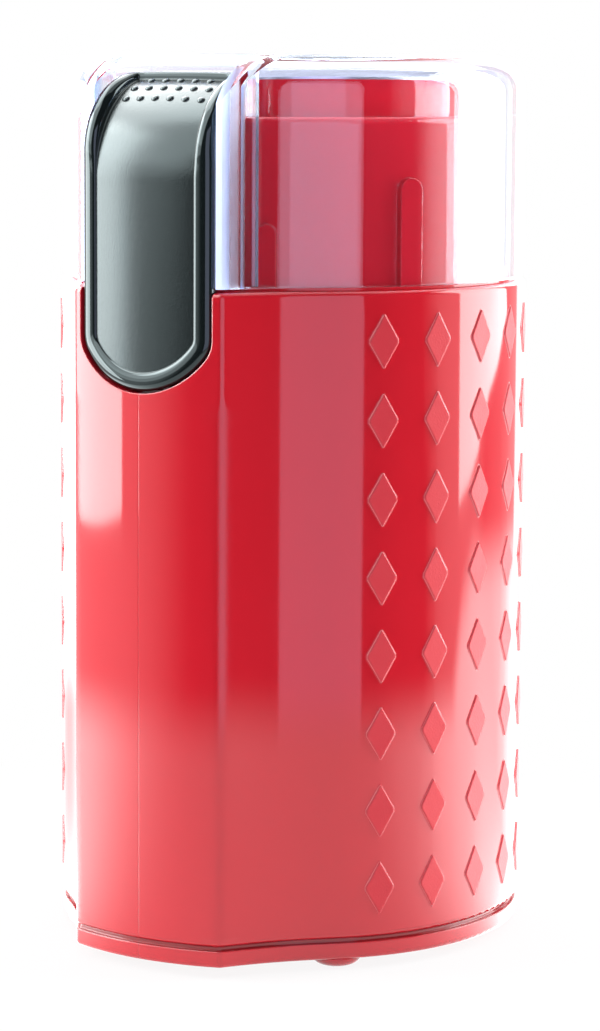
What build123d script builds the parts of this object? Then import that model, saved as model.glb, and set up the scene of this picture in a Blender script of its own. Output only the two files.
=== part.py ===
from build123d import *
import os
from math import cos, radians, sin, sqrt

# Electric coffee grinder: a blade grinder with a lift-off clear lid and a front press lever.
# Lengths in millimetres, angles in degrees. The front faces -Y and the part stands on Z = 0.

# Plan of the housing: a round back, hollow flanks and a bowed front panel
body_radius = 45.0
panel_proud = 7.9
panel_width = 32.8
panel_rise = 2.9
flank_angle = 42.0
panel_corner_radius = 2.0

# Housing heights and walls
foot_height = 2.0
flange_height = 3.2
groove_height = 0.8
body_height = 121.2
wall = 2.2
deck_thickness = 2.4
body_edge_radius = 1.0

# Clearances shared by all pieces
clearance = 0.3
fit = 0.05
overrun = 2.0

# Diamond studs round the back of the housing
stud_relief = 0.7
stud_width = 6.5
stud_height = 10.9
stud_blunt_share = 0.07
stud_draft = 15.0
stud_rows = 8
stud_columns = 18
stud_first_angle = 54.1
stud_top_margin = 9.2
stud_bottom_margin = 9.45
stud_root = 0.4

# Base plate
flange_edge_radius = 0.9
groove_depth = 0.9
spigot_height = 4.0
spigot_wall = 2.0
foot_count = 4
foot_first_angle = 45.0
foot_radius = 3.9
foot_margin = 5.2
foot_draft = 38.0
foot_edge_radius = 0.5
vent_count = 10
vent_length = 13.0
vent_width = 3.0
vent_margin = 15.0

# Base screws and the posts they bite in
post_radius = 3.6
post_height = 26.0
post_margin = 9.0
post_rib_width = 2.0
post_angles = (70.0, 160.0, 200.0, 290.0)
base_screw_radius = 1.5
base_screw_length = 14.0
base_screw_head_radius = 2.9
base_screw_head_height = 1.6

# Cord gland at the back
gland_height = 22.8
gland_radius = 4.2
gland_flange_radius = 5.4
gland_flange_thickness = 1.2
gland_bore_radius = 3.2
gland_seat_depth = 0.6

# Chamber collar under the lid
collar_gap = 1.7
collar_wall = 2.2
collar_edge_radius = 1.2
collar_flange_margin = 1.6
collar_flange_height = 0.7
sleeve_gap = 5.7
sleeve_wall = 1.8
sleeve_rise = 7.2
sleeve_drop = 7.8
sleeve_flange_thickness = 2.0
collar_floor_thickness = 2.4
guide_relief = 1.3
lug_angle = 25.0
lug_width = 3.7
lug_height = 11.4
rib_angle = 63.0
rib_width = 4.6
rib_height = 19.8

# Screws that hold the collar down on the deck
collar_boss_radius = 3.2
collar_boss_height = 14.0
collar_screw_count = 4
collar_screw_first_angle = 45.0
collar_screw_radius = 1.3
collar_screw_length = 12.0
collar_screw_head_radius = 2.5
collar_screw_head_height = 1.5

# Steel bowl and its shaft seal
bowl_sheet = 0.6
bowl_floor_radius = 4.0
bowl_rim_overhang = 1.5
bowl_hole_radius = 6.0
seal_flange_radius = 8.0
seal_flange_thickness = 1.5

# Clear lid
lid_inset = 0.6
lid_wall = 2.2
lid_height = 42.2
lid_shoulder_radius = 6.5
lid_head_gap = 1.9
lid_slot_gap = 0.7
lid_slot_wall = 1.6
lid_slot_depth = 16.7
lid_slot_wall_depth = 14.2
lid_front_gap = 1.9

# Press lever and the pocket it lies in
lever_width = 28.4
lever_gap = 0.4
lever_drop = 18.4
lever_bottom_rise = 8.4
lever_corner_radius = 6.0
lever_thickness = 3.0
lever_bend_radius = 15.7
lever_top_gap = 3.3
lever_taper = 2.0
lever_rim_width = 3.0
lever_recess_depth = 0.7
lever_recess_last_turn = 80.0
lever_crown_share = 0.1
lever_step_shares = (0, 0.25, 0.5, 0.75, 1)
grip_dot_radius = 0.85
grip_dot_height = 0.6
grip_dot_pitch = 3.4
grip_row_pitch = 3.5
grip_first_turn = 34.0
grip_row_counts = (6, 6, 5)
pocket_depth = 8.9
pocket_wall = 1.4
pocket_floor_wall = 4.0

# Lever pivot, return springs and switch
pivot_rise = 3.0
pivot_depth = 4.5
barrel_radius = 2.4
barrel_half_length = 5.0
pin_radius = 1.25
pin_inset = 0.7
spring_offset = 8.0
spring_radius = 2.0
spring_wire_radius = 0.3
spring_turns = 4.0
switch_width = 12.0
switch_depth = 6.5
switch_height = 10.0
plunger_drop = 5.4
plunger_radius = 1.2
plunger_depth = 1.2
plunger_reach = 2.6
plunger_well = 2.4
nub_radius = 1.8
switch_screw_radius = 0.9
switch_screw_offset = 4.2
switch_screw_drop = 7.4
switch_screw_grip = 1.0
switch_chamfer = 0.5
switch_terminal_count = 3
switch_terminal_pitch = 4.0
switch_terminal_width = 3.0
switch_terminal_thickness = 0.6
switch_terminal_length = 4.0
switch_screw_head_radius = 1.6
switch_screw_head_height = 1.0

# Motor: a two-pole series motor hung under the collar floor
shaft_radius = 3.0
stator_radius = 30.0
yoke_thickness = 4.6
pole_width = 12.0
pole_shoe_thickness = 2.4
pole_shoe_angle = 100.0
rotor_radius = 14.6
air_gap = 0.6
rotor_slots = 12
rotor_slot_width = 2.2
rotor_slot_depth = 5.0
coil_thickness = 4.4
coil_depth = 4.4
coil_corner_radius = 3.0
winding_radius = 12.6
winding_height = 4.4
commutator_radius = 8.5
commutator_gap = 2.0
commutator_bracket_gap = 0.6
commutator_cut_width = 0.5
commutator_cut_depth = 0.6
fan_post_gap = 7.4
fan_disc_thickness = 1.6
fan_vane_height = 7.0
fan_vane_thickness = 1.4
fan_vane_count = 9
fan_hub_radius = 6.0
fan_vane_sweep = 25.0

# Shares of the height from the base plate up to the bowl's floor that the motor's levels take
shaft_bottom_share = 0.13
fan_bottom_share = 0.165
stack_bottom_share = 0.532
stack_height_share = 0.298
lower_standoff_share = 0.166

# Motor brackets, bearings and fixings
bracket_thickness = 3.0
upper_standoff = 7.0
standoff_radius = 2.9
hub_radius = 9.0
hub_rise = 3.0
hub_drop = 1.5
lower_hub_drop = 6.0
bearing_radius = 6.0
bracket_arm_width = 10.0
motor_screw_count = 2
motor_screw_first_angle = 90.0
motor_screw_radius = 1.5
motor_screw_head_radius = 2.8
motor_screw_head_height = 2.0
damper_count = 4
damper_first_angle = 45.0
damper_margin = 8.6
damper_radius = 4.0
damper_height = 2.5
hanger_radius = 3.4
damper_screw_radius = 1.4
damper_screw_head_radius = 2.7
damper_screw_head_height = 1.8
damper_screw_length = 11.0

# Brushes on the commutator
brush_width = 6.0
brush_height = 5.0
brush_length = 9.0
brush_holder_wall = 1.2
brush_holder_length = 13.0
brush_holder_gap = 1.5
brush_spring_radius = 1.6

# Blade in the bowl
blade_gap = 4.15
blade_width = 9.0
blade_hub_radius = 6.5
blade_thickness = 1.6
blade_flat_half = 8.0
blade_lift = 3.2
blade_drop = 1.4
spacer_radius = 5.0
spacer_height = 2.2
nut_sides = 6
nut_radius = 4.6
nut_height = 3.2
nut_dome_height = 2.2
nut_dome_draft = 30.0

# Suppression capacitor on the base
capacitor_post_gap = 1.2
capacitor_width = 7.0
capacitor_height = 11.0
capacitor_margin = 13.0
capacitor_edge_radius = 1.0

# Places worked out from the sizes above
front_reach = body_radius + panel_proud
axis_y = (front_reach - body_radius - stud_relief) / 2
axis_plane = Plane(origin=(0, axis_y, 0))
front_plane = Plane(origin=(0, axis_y, 0), x_dir=(1, 0, 0), z_dir=(0, -1, 0))
side_plane = Plane(origin=(0, axis_y, 0), x_dir=(0, 1, 0), z_dir=(1, 0, 0))
spin_axis = Axis((0, axis_y, 0), (0, 0, 1))

flange_top = foot_height + flange_height
body_floor = flange_top + groove_height
body_top = body_floor + body_height
deck_underside = body_top - deck_thickness
stud_row_pitch = (body_height - stud_top_margin - stud_bottom_margin) / (stud_rows - 1)
foot_circle_radius = body_radius - foot_margin
post_circle_radius = body_radius - post_margin
vent_circle_radius = post_circle_radius - vent_margin
capacitor_offset = body_radius - capacitor_margin
lid_bottom = body_top + collar_flange_height
lid_top = lid_bottom + lid_height
collar_radius = body_radius - lid_inset - lid_wall - collar_gap
collar_flange_radius = body_radius - collar_flange_margin
sleeve_radius = collar_radius - collar_wall - sleeve_gap
sleeve_inner = sleeve_radius - sleeve_wall
sleeve_top = lid_top - lid_wall - lid_head_gap
collar_top = sleeve_top - sleeve_rise
sleeve_bottom = body_top - sleeve_drop
sleeve_flange_top = body_top + sleeve_flange_thickness
chamber_floor = sleeve_bottom + collar_floor_thickness
lever_half = lever_width / 2
lever_bottom = body_top - lever_drop
lever_bend_height = lid_top - lever_top_gap - lever_bend_radius
lid_slot_half_width = lever_half + lid_slot_gap
lid_slot_back = front_reach - lid_slot_depth
lid_slot_wall_back = front_reach - lid_slot_wall_depth
lid_front_radius = lever_bend_radius + lid_front_gap
pocket_back = front_reach - pocket_depth
pivot_reach = front_reach - pivot_depth
pivot_height = lever_bottom + pivot_rise
pin_half_length = lever_half - pin_inset
plunger_height = body_top - plunger_drop
panel_half = panel_width / 2
panel_arc_radius = (panel_half**2 + panel_rise**2) / (2 * panel_rise)
motor_room = sleeve_bottom - flange_top
shaft_bottom = flange_top + motor_room * shaft_bottom_share
fan_bottom = flange_top + motor_room * fan_bottom_share
fan_radius = post_circle_radius - post_radius - fan_post_gap
stack_bottom = flange_top + motor_room * stack_bottom_share
stack_height = motor_room * stack_height_share
lower_standoff = motor_room * lower_standoff_share
damper_circle_radius = sleeve_radius - damper_margin
stack_top = stack_bottom + stack_height
pole_bore = rotor_radius + air_gap
yoke_inner = stator_radius - yoke_thickness
yoke_middle = stator_radius - yoke_thickness / 2
upper_plate = stack_top + upper_standoff
upper_plate_top = upper_plate + bracket_thickness
lower_plate_top = stack_bottom - lower_standoff
lower_plate = lower_plate_top - bracket_thickness
hanger_bottom = upper_plate_top + damper_height
bowl_outer = sleeve_inner - fit
bowl_floor_top = chamber_floor + bowl_sheet
blade_radius = bowl_outer - bowl_sheet - blade_gap
commutator_top = stack_bottom - winding_height - commutator_gap
commutator_bottom = lower_plate_top + commutator_bracket_gap
commutator_height = commutator_top - commutator_bottom
brush_middle = commutator_bottom + commutator_height / 2
spacer_bottom = bowl_floor_top + seal_flange_thickness + clearance
blade_bottom = spacer_bottom + spacer_height
blade_top = blade_bottom + blade_thickness
pocket_floor = lever_bottom - pocket_floor_wall
bend_centre = (0, axis_y - front_reach + lever_bend_radius, lever_bend_height)
switch_front = pocket_back - pocket_wall
switch_back = switch_front - switch_depth
switch_top = deck_underside - clearance
switch_screw_height = switch_top - switch_screw_drop
plunger_tip = pocket_back + plunger_reach
holder_start = commutator_radius + brush_holder_gap
holder_end = holder_start + brush_holder_length
gland_outside = body_radius - gland_seat_depth + gland_flange_thickness
gland_inside = sqrt((body_radius - wall)**2 - gland_flange_radius**2) - fit
rib_bottom = body_floor + spigot_height + clearance
post_rib_reach = body_radius - wall / 2
guides = ((lug_angle, lug_width, lug_height), (rib_angle, rib_width, rib_height))

# Places that repeat
post_places = [(post_circle_radius * sin(radians(a)), -post_circle_radius * cos(radians(a)))
               for a in post_angles]
capacitor_length = 2 * (post_places[1][0] - post_radius - capacitor_post_gap)
boss_circle_radius = (sleeve_radius + collar_radius - collar_wall) / 2
boss_places = PolarLocations(boss_circle_radius, collar_screw_count, collar_screw_first_angle)
damper_places = PolarLocations(damper_circle_radius, damper_count, damper_first_angle)
motor_screw_places = PolarLocations(yoke_middle, motor_screw_count, motor_screw_first_angle)
stud_point_share = 1 - stud_blunt_share
stud_outline = []
for across, up in ((1, 1), (-1, 1), (-1, -1), (1, -1)):
    side_point = (across * stud_point_share * stud_width / 2, up * stud_blunt_share * stud_height / 2)
    end_point = (across * stud_blunt_share * stud_width / 2, up * stud_point_share * stud_height / 2)
    stud_outline += [side_point, end_point] if across == up else [end_point, side_point]
stud_planes = []
stud_step = (360 - 2 * stud_first_angle) / (stud_columns - 1)
for column in range(stud_columns):
    stud_turn = radians(stud_first_angle + column * stud_step)
    outward = (sin(stud_turn), -cos(stud_turn), 0)
    along = (cos(stud_turn), sin(stud_turn), 0)
    stud_base = body_radius - stud_root
    for row in range(stud_rows):
        stud_z = body_top - stud_top_margin - row * stud_row_pitch
        stud_place = (stud_base * sin(stud_turn), axis_y - stud_base * cos(stud_turn), stud_z)
        stud_planes.append(Plane(origin=stud_place, x_dir=along, z_dir=outward))


def draw_plan(height, inset=0, corner=0, back=None):
    """Draw the plan at a height, drawn in by the inset: round back, hollow flanks and bowed panel.

    A back distance keeps only what lies further forward than that from the motor axis.
    """
    turn = radians(flank_angle)
    flank_x = body_radius * sin(turn)
    flank_y = -body_radius * cos(turn)
    corner_y = panel_rise - front_reach
    with BuildSketch(axis_plane.offset(height)) as plan:
        with BuildLine():
            ThreePointArc((-panel_half, corner_y), (0, -front_reach), (panel_half, corner_y))
            TangentArc((flank_x, flank_y), (panel_half, corner_y), tangent=(-cos(turn), -sin(turn)))
            ThreePointArc((flank_x, flank_y), (0, body_radius), (-flank_x, flank_y))
            TangentArc((-flank_x, flank_y), (-panel_half, corner_y), tangent=(cos(turn), -sin(turn)))
        make_face()
        if inset:
            offset(amount=-inset)
        if corner:
            fillet(plan.vertices().sort_by(Axis.Y)[:2], corner)
        if back:
            with Locations((0, -back)):
                Rectangle(2 * body_radius, front_reach, align=(Align.CENTER, Align.MAX), mode=Mode.INTERSECT)
    return plan.sketch


def ring(bottom, top, outer, inner=0, mode=Mode.ADD):
    """Add or cut a disc or ring about the motor axis between two heights."""
    with BuildSketch(axis_plane.offset(bottom)) as section:
        Circle(outer)
        if inner:
            Circle(inner, mode=Mode.SUBTRACT)
    extrude(section.sketch, amount=top - bottom, mode=mode)


def pegs(places, bottom, top, radius, mode=Mode.ADD):
    """Add or cut upright round pegs at places measured from the motor axis."""
    with BuildSketch(axis_plane.offset(bottom)) as section:
        with places:
            Circle(radius)
    extrude(section.sketch, amount=top - bottom, mode=mode)


def bar(x, height, front, back, radius, mode=Mode.ADD):
    """Add or cut a round bar along Y, from one distance ahead of the motor axis back to another."""
    with BuildSketch(front_plane.offset(back)) as section:
        with Locations((x, height)):
            Circle(radius)
    extrude(section.sketch, amount=front - back, mode=mode)


def draw_lever_outline(back, half_width, bottom):
    """Draw the lever's front view: straight sides that close in a wide arc at the bottom."""
    side = bottom + lever_bottom_rise
    with BuildSketch(front_plane.offset(back)) as outline:
        with BuildLine():
            Polyline((half_width, side), (half_width, lid_top), (-half_width, lid_top), (-half_width, side))
            ThreePointArc((-half_width, side), (0, bottom), (half_width, side))
        make_face()
        fillet(outline.vertices().group_by(Axis.Y)[0], lever_corner_radius)
    return outline.sketch


def draw_lever_section(turn, half_width, outer, thickness):
    """Draw a cross-section of the lever where its bend has turned by an angle from upright."""
    turn_share = turn / 90
    half = half_width - lever_taper * turn_share
    rise = panel_arc_radius - sqrt(panel_arc_radius**2 - half**2)
    rise = rise * (1 - (1 - lever_crown_share) * turn_share)
    inner = outer - thickness
    radial = Vector(0, -cos(radians(turn)), sin(radians(turn)))
    plane = Plane(origin=bend_centre, x_dir=(1, 0, 0), z_dir=Vector(1, 0, 0).cross(radial))
    with BuildSketch(plane) as section:
        with BuildLine():
            ThreePointArc((-half, outer - rise), (0, outer), (half, outer - rise))
            Line((half, outer - rise), (half, inner - rise))
            ThreePointArc((half, inner - rise), (0, inner), (-half, inner - rise))
            Line((-half, inner - rise), (-half, outer - rise))
        make_face()
    return section.sketch


def lever_form(half_width, bottom, outer, thickness, last_turn):
    """Make a curved strip that follows the panel upwards and bends back over the top."""
    with BuildPart() as form:
        upright = draw_lever_section(0, half_width + overrun, outer, thickness)
        extrude(upright, amount=lever_bend_height - bottom)
        extrude(draw_lever_outline(0, half_width, bottom), amount=front_reach + overrun, mode=Mode.INTERSECT)
        loft([draw_lever_section(last_turn * share, half_width, outer, thickness)
              for share in lever_step_shares])
    return form.part


os.makedirs("parts", exist_ok=True)

# Base plate: flange, groove band, spigot ring, feet, vents and screw seats
with BuildPart() as base_plate:
    extrude(draw_plan(foot_height, 0, panel_corner_radius), amount=flange_height)
    fillet(base_plate.faces().sort_by(Axis.Z)[0].edges(), flange_edge_radius)
    extrude(draw_plan(flange_top, groove_depth, panel_corner_radius - groove_depth), amount=groove_height)
    extrude(draw_plan(flange_top, wall + clearance), amount=groove_height + spigot_height)
    extrude(draw_plan(flange_top, wall + clearance + spigot_wall), amount=groove_height + spigot_height,
            mode=Mode.SUBTRACT)
    with BuildSketch(axis_plane.offset(foot_height)):
        with PolarLocations(foot_circle_radius, foot_count, foot_first_angle):
            Circle(foot_radius)
    extrude(amount=-foot_height, taper=foot_draft)
    fillet(base_plate.edges().group_by(Axis.Z)[0], foot_edge_radius)
    with BuildSketch(axis_plane.offset(foot_height)):
        with PolarLocations(vent_circle_radius, vent_count):
            SlotOverall(vent_length, vent_width)
    extrude(amount=flange_height, mode=Mode.SUBTRACT)
    pegs(Locations(*post_places), foot_height, flange_top, base_screw_radius + fit, Mode.SUBTRACT)
    head_top = foot_height + base_screw_head_height
    pegs(Locations(*post_places), foot_height, head_top, base_screw_head_radius + fit, Mode.SUBTRACT)
base_plate.part.label = "base_plate"
export_step(base_plate.part, "parts/base_plate.step")

# Screws that hold the base plate up to the housing posts
with BuildPart() as base_screws:
    pegs(Locations(*post_places), foot_height, head_top, base_screw_head_radius)
    pegs(Locations(*post_places), foot_height, foot_height + base_screw_length, base_screw_radius)
base_screws.part.label = "base_screws"
export_step(base_screws.part, "parts/base_screws.step")

# Body shell: the studded housing with its deck, posts, lever pocket and cord hole
with BuildPart() as body_shell:
    extrude(draw_plan(body_floor, 0, panel_corner_radius), amount=body_height)
    fillet(body_shell.faces().sort_by(Axis.Z)[-1].edges(), body_edge_radius)
    fillet(body_shell.faces().sort_by(Axis.Z)[0].edges(), body_edge_radius)
    extrude(draw_plan(body_floor, wall), amount=body_height - deck_thickness, mode=Mode.SUBTRACT)
    ring(deck_underside, body_top, sleeve_radius + clearance, mode=Mode.SUBTRACT)
    pegs(boss_places, deck_underside, body_top, collar_screw_radius + fit, Mode.SUBTRACT)

    # Block behind the top of the panel, which the lever pocket is sunk in
    extrude(draw_plan(pocket_floor, wall / 2, 0, pocket_back - pocket_wall),
            amount=deck_underside - pocket_floor)
    extrude(draw_lever_outline(pocket_back, lever_half + lever_gap, lever_bottom - lever_gap),
            amount=front_reach + overrun - pocket_back, mode=Mode.SUBTRACT)
    with BuildSketch(side_plane):
        with Locations((-pivot_reach, pivot_height)):
            Circle(pin_radius + fit)
    extrude(amount=pin_half_length + fit, both=True, mode=Mode.SUBTRACT)
    bar(0, plunger_height, pocket_back, switch_front, plunger_radius + clearance, Mode.SUBTRACT)
    for side in (-1, 1):
        screw_x = side * switch_screw_offset
        bar(screw_x, switch_screw_height, switch_front + switch_screw_grip, switch_front,
            switch_screw_radius + fit, Mode.SUBTRACT)

    # Posts for the base screws, each tied to the wall by a rib
    with BuildSketch(axis_plane.offset(rib_bottom)):
        for angle in post_angles:
            Rectangle(post_rib_reach, post_rib_width, rotation=angle - 90, align=(Align.MIN, Align.CENTER))
        Circle(post_circle_radius, mode=Mode.SUBTRACT)
    extrude(amount=flange_top + post_height - rib_bottom)
    pegs(Locations(*post_places), flange_top, flange_top + post_height, post_radius)
    screw_top = foot_height + base_screw_length + clearance
    pegs(Locations(*post_places), flange_top, screw_top, base_screw_radius + fit, Mode.SUBTRACT)

    # Diamond studs in rows round the back
    with BuildSketch(*stud_planes):
        with BuildLine():
            Polyline(*stud_outline, close=True)
        make_face()
    extrude(amount=stud_root + stud_relief, taper=stud_draft)

    # Cord hole with a flat seat for the gland's outer flange
    bar(0, gland_height, wall + overrun - body_radius, -body_radius - overrun, gland_radius + fit,
        Mode.SUBTRACT)
    bar(0, gland_height, gland_seat_depth - body_radius, -body_radius - overrun, gland_flange_radius + fit,
        Mode.SUBTRACT)
body_shell.part.label = "body_shell"
export_step(body_shell.part, "parts/body_shell.step")

# Rubber gland in the cord hole
with BuildPart() as cord_gland:
    gland_inner_end = gland_flange_thickness - gland_inside
    bar(0, gland_height, gland_inner_end, -gland_outside, gland_radius)
    bar(0, gland_height, gland_seat_depth - body_radius, -gland_outside, gland_flange_radius)
    bar(0, gland_height, gland_inner_end, -gland_inside, gland_flange_radius)
    bar(0, gland_height, gland_inner_end, -gland_outside, gland_bore_radius, Mode.SUBTRACT)
cord_gland.part.label = "cord_gland"
export_step(cord_gland.part, "parts/cord_gland.step")

# Chamber collar: outer wall with its top step, lid guides and screw bosses
with BuildPart() as chamber_collar:
    ring(body_top, collar_top, collar_radius)
    fillet(chamber_collar.edges().group_by(Axis.Z)[-1], collar_edge_radius)
    ring(body_top, collar_top - collar_wall, collar_radius - collar_wall, mode=Mode.SUBTRACT)
    ring(body_top, lid_bottom, collar_flange_radius, collar_radius - collar_wall)
    pegs(boss_places, sleeve_flange_top, body_top + collar_boss_height, collar_boss_radius)
    ring(sleeve_flange_top, collar_top, sleeve_radius + fit, mode=Mode.SUBTRACT)
    boss_hole_top = deck_underside + collar_screw_length + clearance
    pegs(boss_places, sleeve_flange_top, boss_hole_top, collar_screw_radius + fit, Mode.SUBTRACT)
    for side in (-1, 1):
        for angle, width, height in guides:
            turn = radians(side * angle)
            root = collar_radius - collar_wall / 2
            place = (root * sin(turn), axis_y - root * cos(turn), lid_bottom)
            outward = (sin(turn), -cos(turn), 0)
            with BuildSketch(Plane(origin=place, x_dir=(cos(turn), sin(turn), 0), z_dir=outward)):
                Rectangle(width, height - width / 2, align=(Align.CENTER, Align.MIN))
                with Locations((0, height - width / 2)):
                    Circle(width / 2)
            extrude(amount=collar_wall / 2 + guide_relief)
chamber_collar.part.label = "chamber_collar"
export_step(chamber_collar.part, "parts/chamber_collar.step")

# Bowl sleeve: the cup that holds the bowl, with a flange clamped under the collar's bosses and motor hangers
with BuildPart() as bowl_sleeve:
    ring(sleeve_bottom, sleeve_top, sleeve_radius)
    ring(body_top, sleeve_flange_top, collar_radius - collar_wall - clearance, sleeve_radius)
    ring(chamber_floor, sleeve_top, sleeve_inner, mode=Mode.SUBTRACT)
    ring(sleeve_bottom, chamber_floor, bowl_hole_radius, mode=Mode.SUBTRACT)
    pegs(boss_places, body_top, sleeve_flange_top, collar_screw_radius + fit, Mode.SUBTRACT)
    pegs(damper_places, hanger_bottom, sleeve_bottom, hanger_radius)
    hanger_hole_top = upper_plate + damper_screw_length + clearance
    pegs(damper_places, hanger_bottom, hanger_hole_top, damper_screw_radius + fit, Mode.SUBTRACT)
bowl_sleeve.part.label = "bowl_sleeve"
export_step(bowl_sleeve.part, "parts/bowl_sleeve.step")

# Screws that pull the collar down on the deck
with BuildPart() as collar_screws:
    pegs(boss_places, deck_underside - collar_screw_head_height, deck_underside, collar_screw_head_radius)
    pegs(boss_places, deck_underside, deck_underside + collar_screw_length, collar_screw_radius)
collar_screws.part.label = "collar_screws"
export_step(collar_screws.part, "parts/collar_screws.step")

# Grinding bowl: a pressed steel cup whose rim turns out over the sleeve
with BuildPart() as grinding_bowl:
    with BuildSketch(front_plane):
        with BuildLine():
            FilletPolyline((bowl_hole_radius, chamber_floor), (bowl_outer, chamber_floor),
                           (bowl_outer, sleeve_top), (bowl_outer + bowl_rim_overhang, sleeve_top),
                           radius=(bowl_floor_radius, fit))
            offset(amount=bowl_sheet, side=Side.LEFT)
        make_face()
    revolve(axis=spin_axis)
grinding_bowl.part.label = "grinding_bowl"
export_step(grinding_bowl.part, "parts/grinding_bowl.step")

# Shaft seal: a rubber bush flanged over the bowl floor and under the collar floor
with BuildPart() as bowl_seal:
    ring(sleeve_bottom, bowl_floor_top, bowl_hole_radius - fit)
    ring(bowl_floor_top, bowl_floor_top + seal_flange_thickness, seal_flange_radius)
    ring(sleeve_bottom - seal_flange_thickness, sleeve_bottom, seal_flange_radius)
    ring(sleeve_bottom - seal_flange_thickness, bowl_floor_top + seal_flange_thickness, shaft_radius + fit,
         mode=Mode.SUBTRACT)
bowl_seal.part.label = "bowl_seal"
export_step(bowl_seal.part, "parts/bowl_seal.step")

# Lid: clear cover with rounded shoulders, cut away at the front for the lever


def lid_form(inset, height, shoulder, front_radius):
    """Make the lid's closed form: the plan with round shoulders and a rounded front profile."""
    top = lid_bottom + height
    front = inset - front_reach
    back = body_radius + overrun
    with BuildPart() as form:
        extrude(draw_plan(lid_bottom, inset), amount=height)
        fillet(form.faces().sort_by(Axis.Z)[-1].edges().sort_by(Axis.Y)[1:], shoulder)
        with BuildSketch(side_plane):
            with BuildLine():
                Polyline((front + front_radius, top), (back, top), (back, lid_bottom), (front, lid_bottom),
                         (front, top - front_radius))
                TangentArc((front, top - front_radius), (front + front_radius, top), tangent=(0, 1))
            make_face()
        extrude(amount=body_radius + overrun, both=True, mode=Mode.INTERSECT)
    return form.part


lid_shell = lid_form(lid_inset, lid_height, lid_shoulder_radius, lid_front_radius)
lid_hollow = lid_form(lid_inset + lid_wall, lid_height - lid_wall, lid_shoulder_radius - lid_wall,
                      lid_front_radius - lid_wall)
with BuildPart() as lid_space:
    add(lid_hollow)
    with BuildSketch(axis_plane.offset(lid_bottom)):
        with Locations((0, -lid_slot_wall_back)):
            Rectangle(2 * (lid_slot_half_width + lid_slot_wall), front_reach, align=(Align.CENTER, Align.MAX))
    extrude(amount=lid_height, mode=Mode.SUBTRACT)
with BuildPart() as lid:
    add(lid_shell)
    add(lid_space.part, mode=Mode.SUBTRACT)
    with BuildSketch(axis_plane.offset(lid_bottom)):
        with Locations((0, -lid_slot_back)):
            Rectangle(2 * lid_slot_half_width, front_reach, align=(Align.CENTER, Align.MAX))
    extrude(amount=lid_height, mode=Mode.SUBTRACT)
lid.part.label = "lid"
export_step(lid.part, "parts/lid.step")

# Press lever: a bent strip with a sunk centre, grip dots, pivot barrel and switch nub
lever_strip = lever_form(lever_half, lever_bottom, lever_bend_radius, lever_thickness, 90)
lever_recess = lever_form(lever_half - lever_rim_width, lever_bottom + lever_rim_width,
                          lever_bend_radius + overrun, overrun + lever_recess_depth, lever_recess_last_turn)
dot_planes = []
for row, count in enumerate(grip_row_counts):
    turn = radians(grip_first_turn) + row * grip_row_pitch / lever_bend_radius
    outward = Vector(0, -cos(turn), sin(turn))
    for index in range(count):
        dot_x = (index - (count - 1) / 2) * grip_dot_pitch
        dot_depth = lever_bend_radius - lever_thickness / 2
        place = Vector(*bend_centre) + outward * dot_depth + Vector(dot_x, 0, 0)
        dot_planes.append(Plane(origin=place, x_dir=(1, 0, 0), z_dir=outward))
with BuildPart() as press_lever:
    add(lever_strip)
    add(lever_recess, mode=Mode.SUBTRACT)
    with BuildSketch(*dot_planes):
        Circle(grip_dot_radius)
    extrude(amount=lever_thickness / 2 - lever_recess_depth + grip_dot_height)
    with BuildSketch(side_plane):
        with Locations((-pivot_reach, pivot_height)):
            Circle(barrel_radius)
    extrude(amount=barrel_half_length, both=True)
    with BuildSketch(side_plane):
        with Locations((-pivot_reach, pivot_height)):
            Circle(pin_radius + fit)
    extrude(amount=pin_half_length, both=True, mode=Mode.SUBTRACT)
    bar(0, plunger_height, front_reach - lever_thickness / 2, plunger_tip + clearance, nub_radius)
press_lever.part.label = "press_lever"
export_step(press_lever.part, "parts/press_lever.step")

# Steel pin that the lever turns on
with BuildPart() as lever_pin:
    with BuildSketch(side_plane):
        with Locations((-pivot_reach, pivot_height)):
            Circle(pin_radius)
    extrude(amount=pin_half_length, both=True)
lever_pin.part.label = "lever_pin"
export_step(lever_pin.part, "parts/lever_pin.step")


def coil_spring(start, direction, length, radius, wire, turns):
    """Wind a round-wire compression spring from a start point along a direction."""
    reach = length - 2 * wire
    foot = Vector(*start) + Vector(*direction) * wire
    with BuildLine() as coil:
        Helix(reach / turns, reach, radius, center=foot, direction=direction)
    with BuildSketch(Plane(origin=coil.line @ 0, z_dir=coil.line % 0)) as section:
        Circle(wire)
    sweep(section.sketch, path=coil.line, is_frenet=True)


# Return springs between the pocket wall and the back of the lever
with BuildPart() as lever_springs:
    for side in (-1, 1):
        lever_back = front_reach - lever_thickness
        lever_back -= panel_arc_radius - sqrt(panel_arc_radius**2 - (spring_offset + spring_radius)**2)
        coil_spring((side * spring_offset, axis_y - pocket_back, plunger_height), (0, -1, 0),
                    lever_back - pocket_back, spring_radius, spring_wire_radius, spring_turns)
lever_springs.part.label = "lever_springs"
export_step(lever_springs.part, "parts/lever_springs.step")

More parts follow.
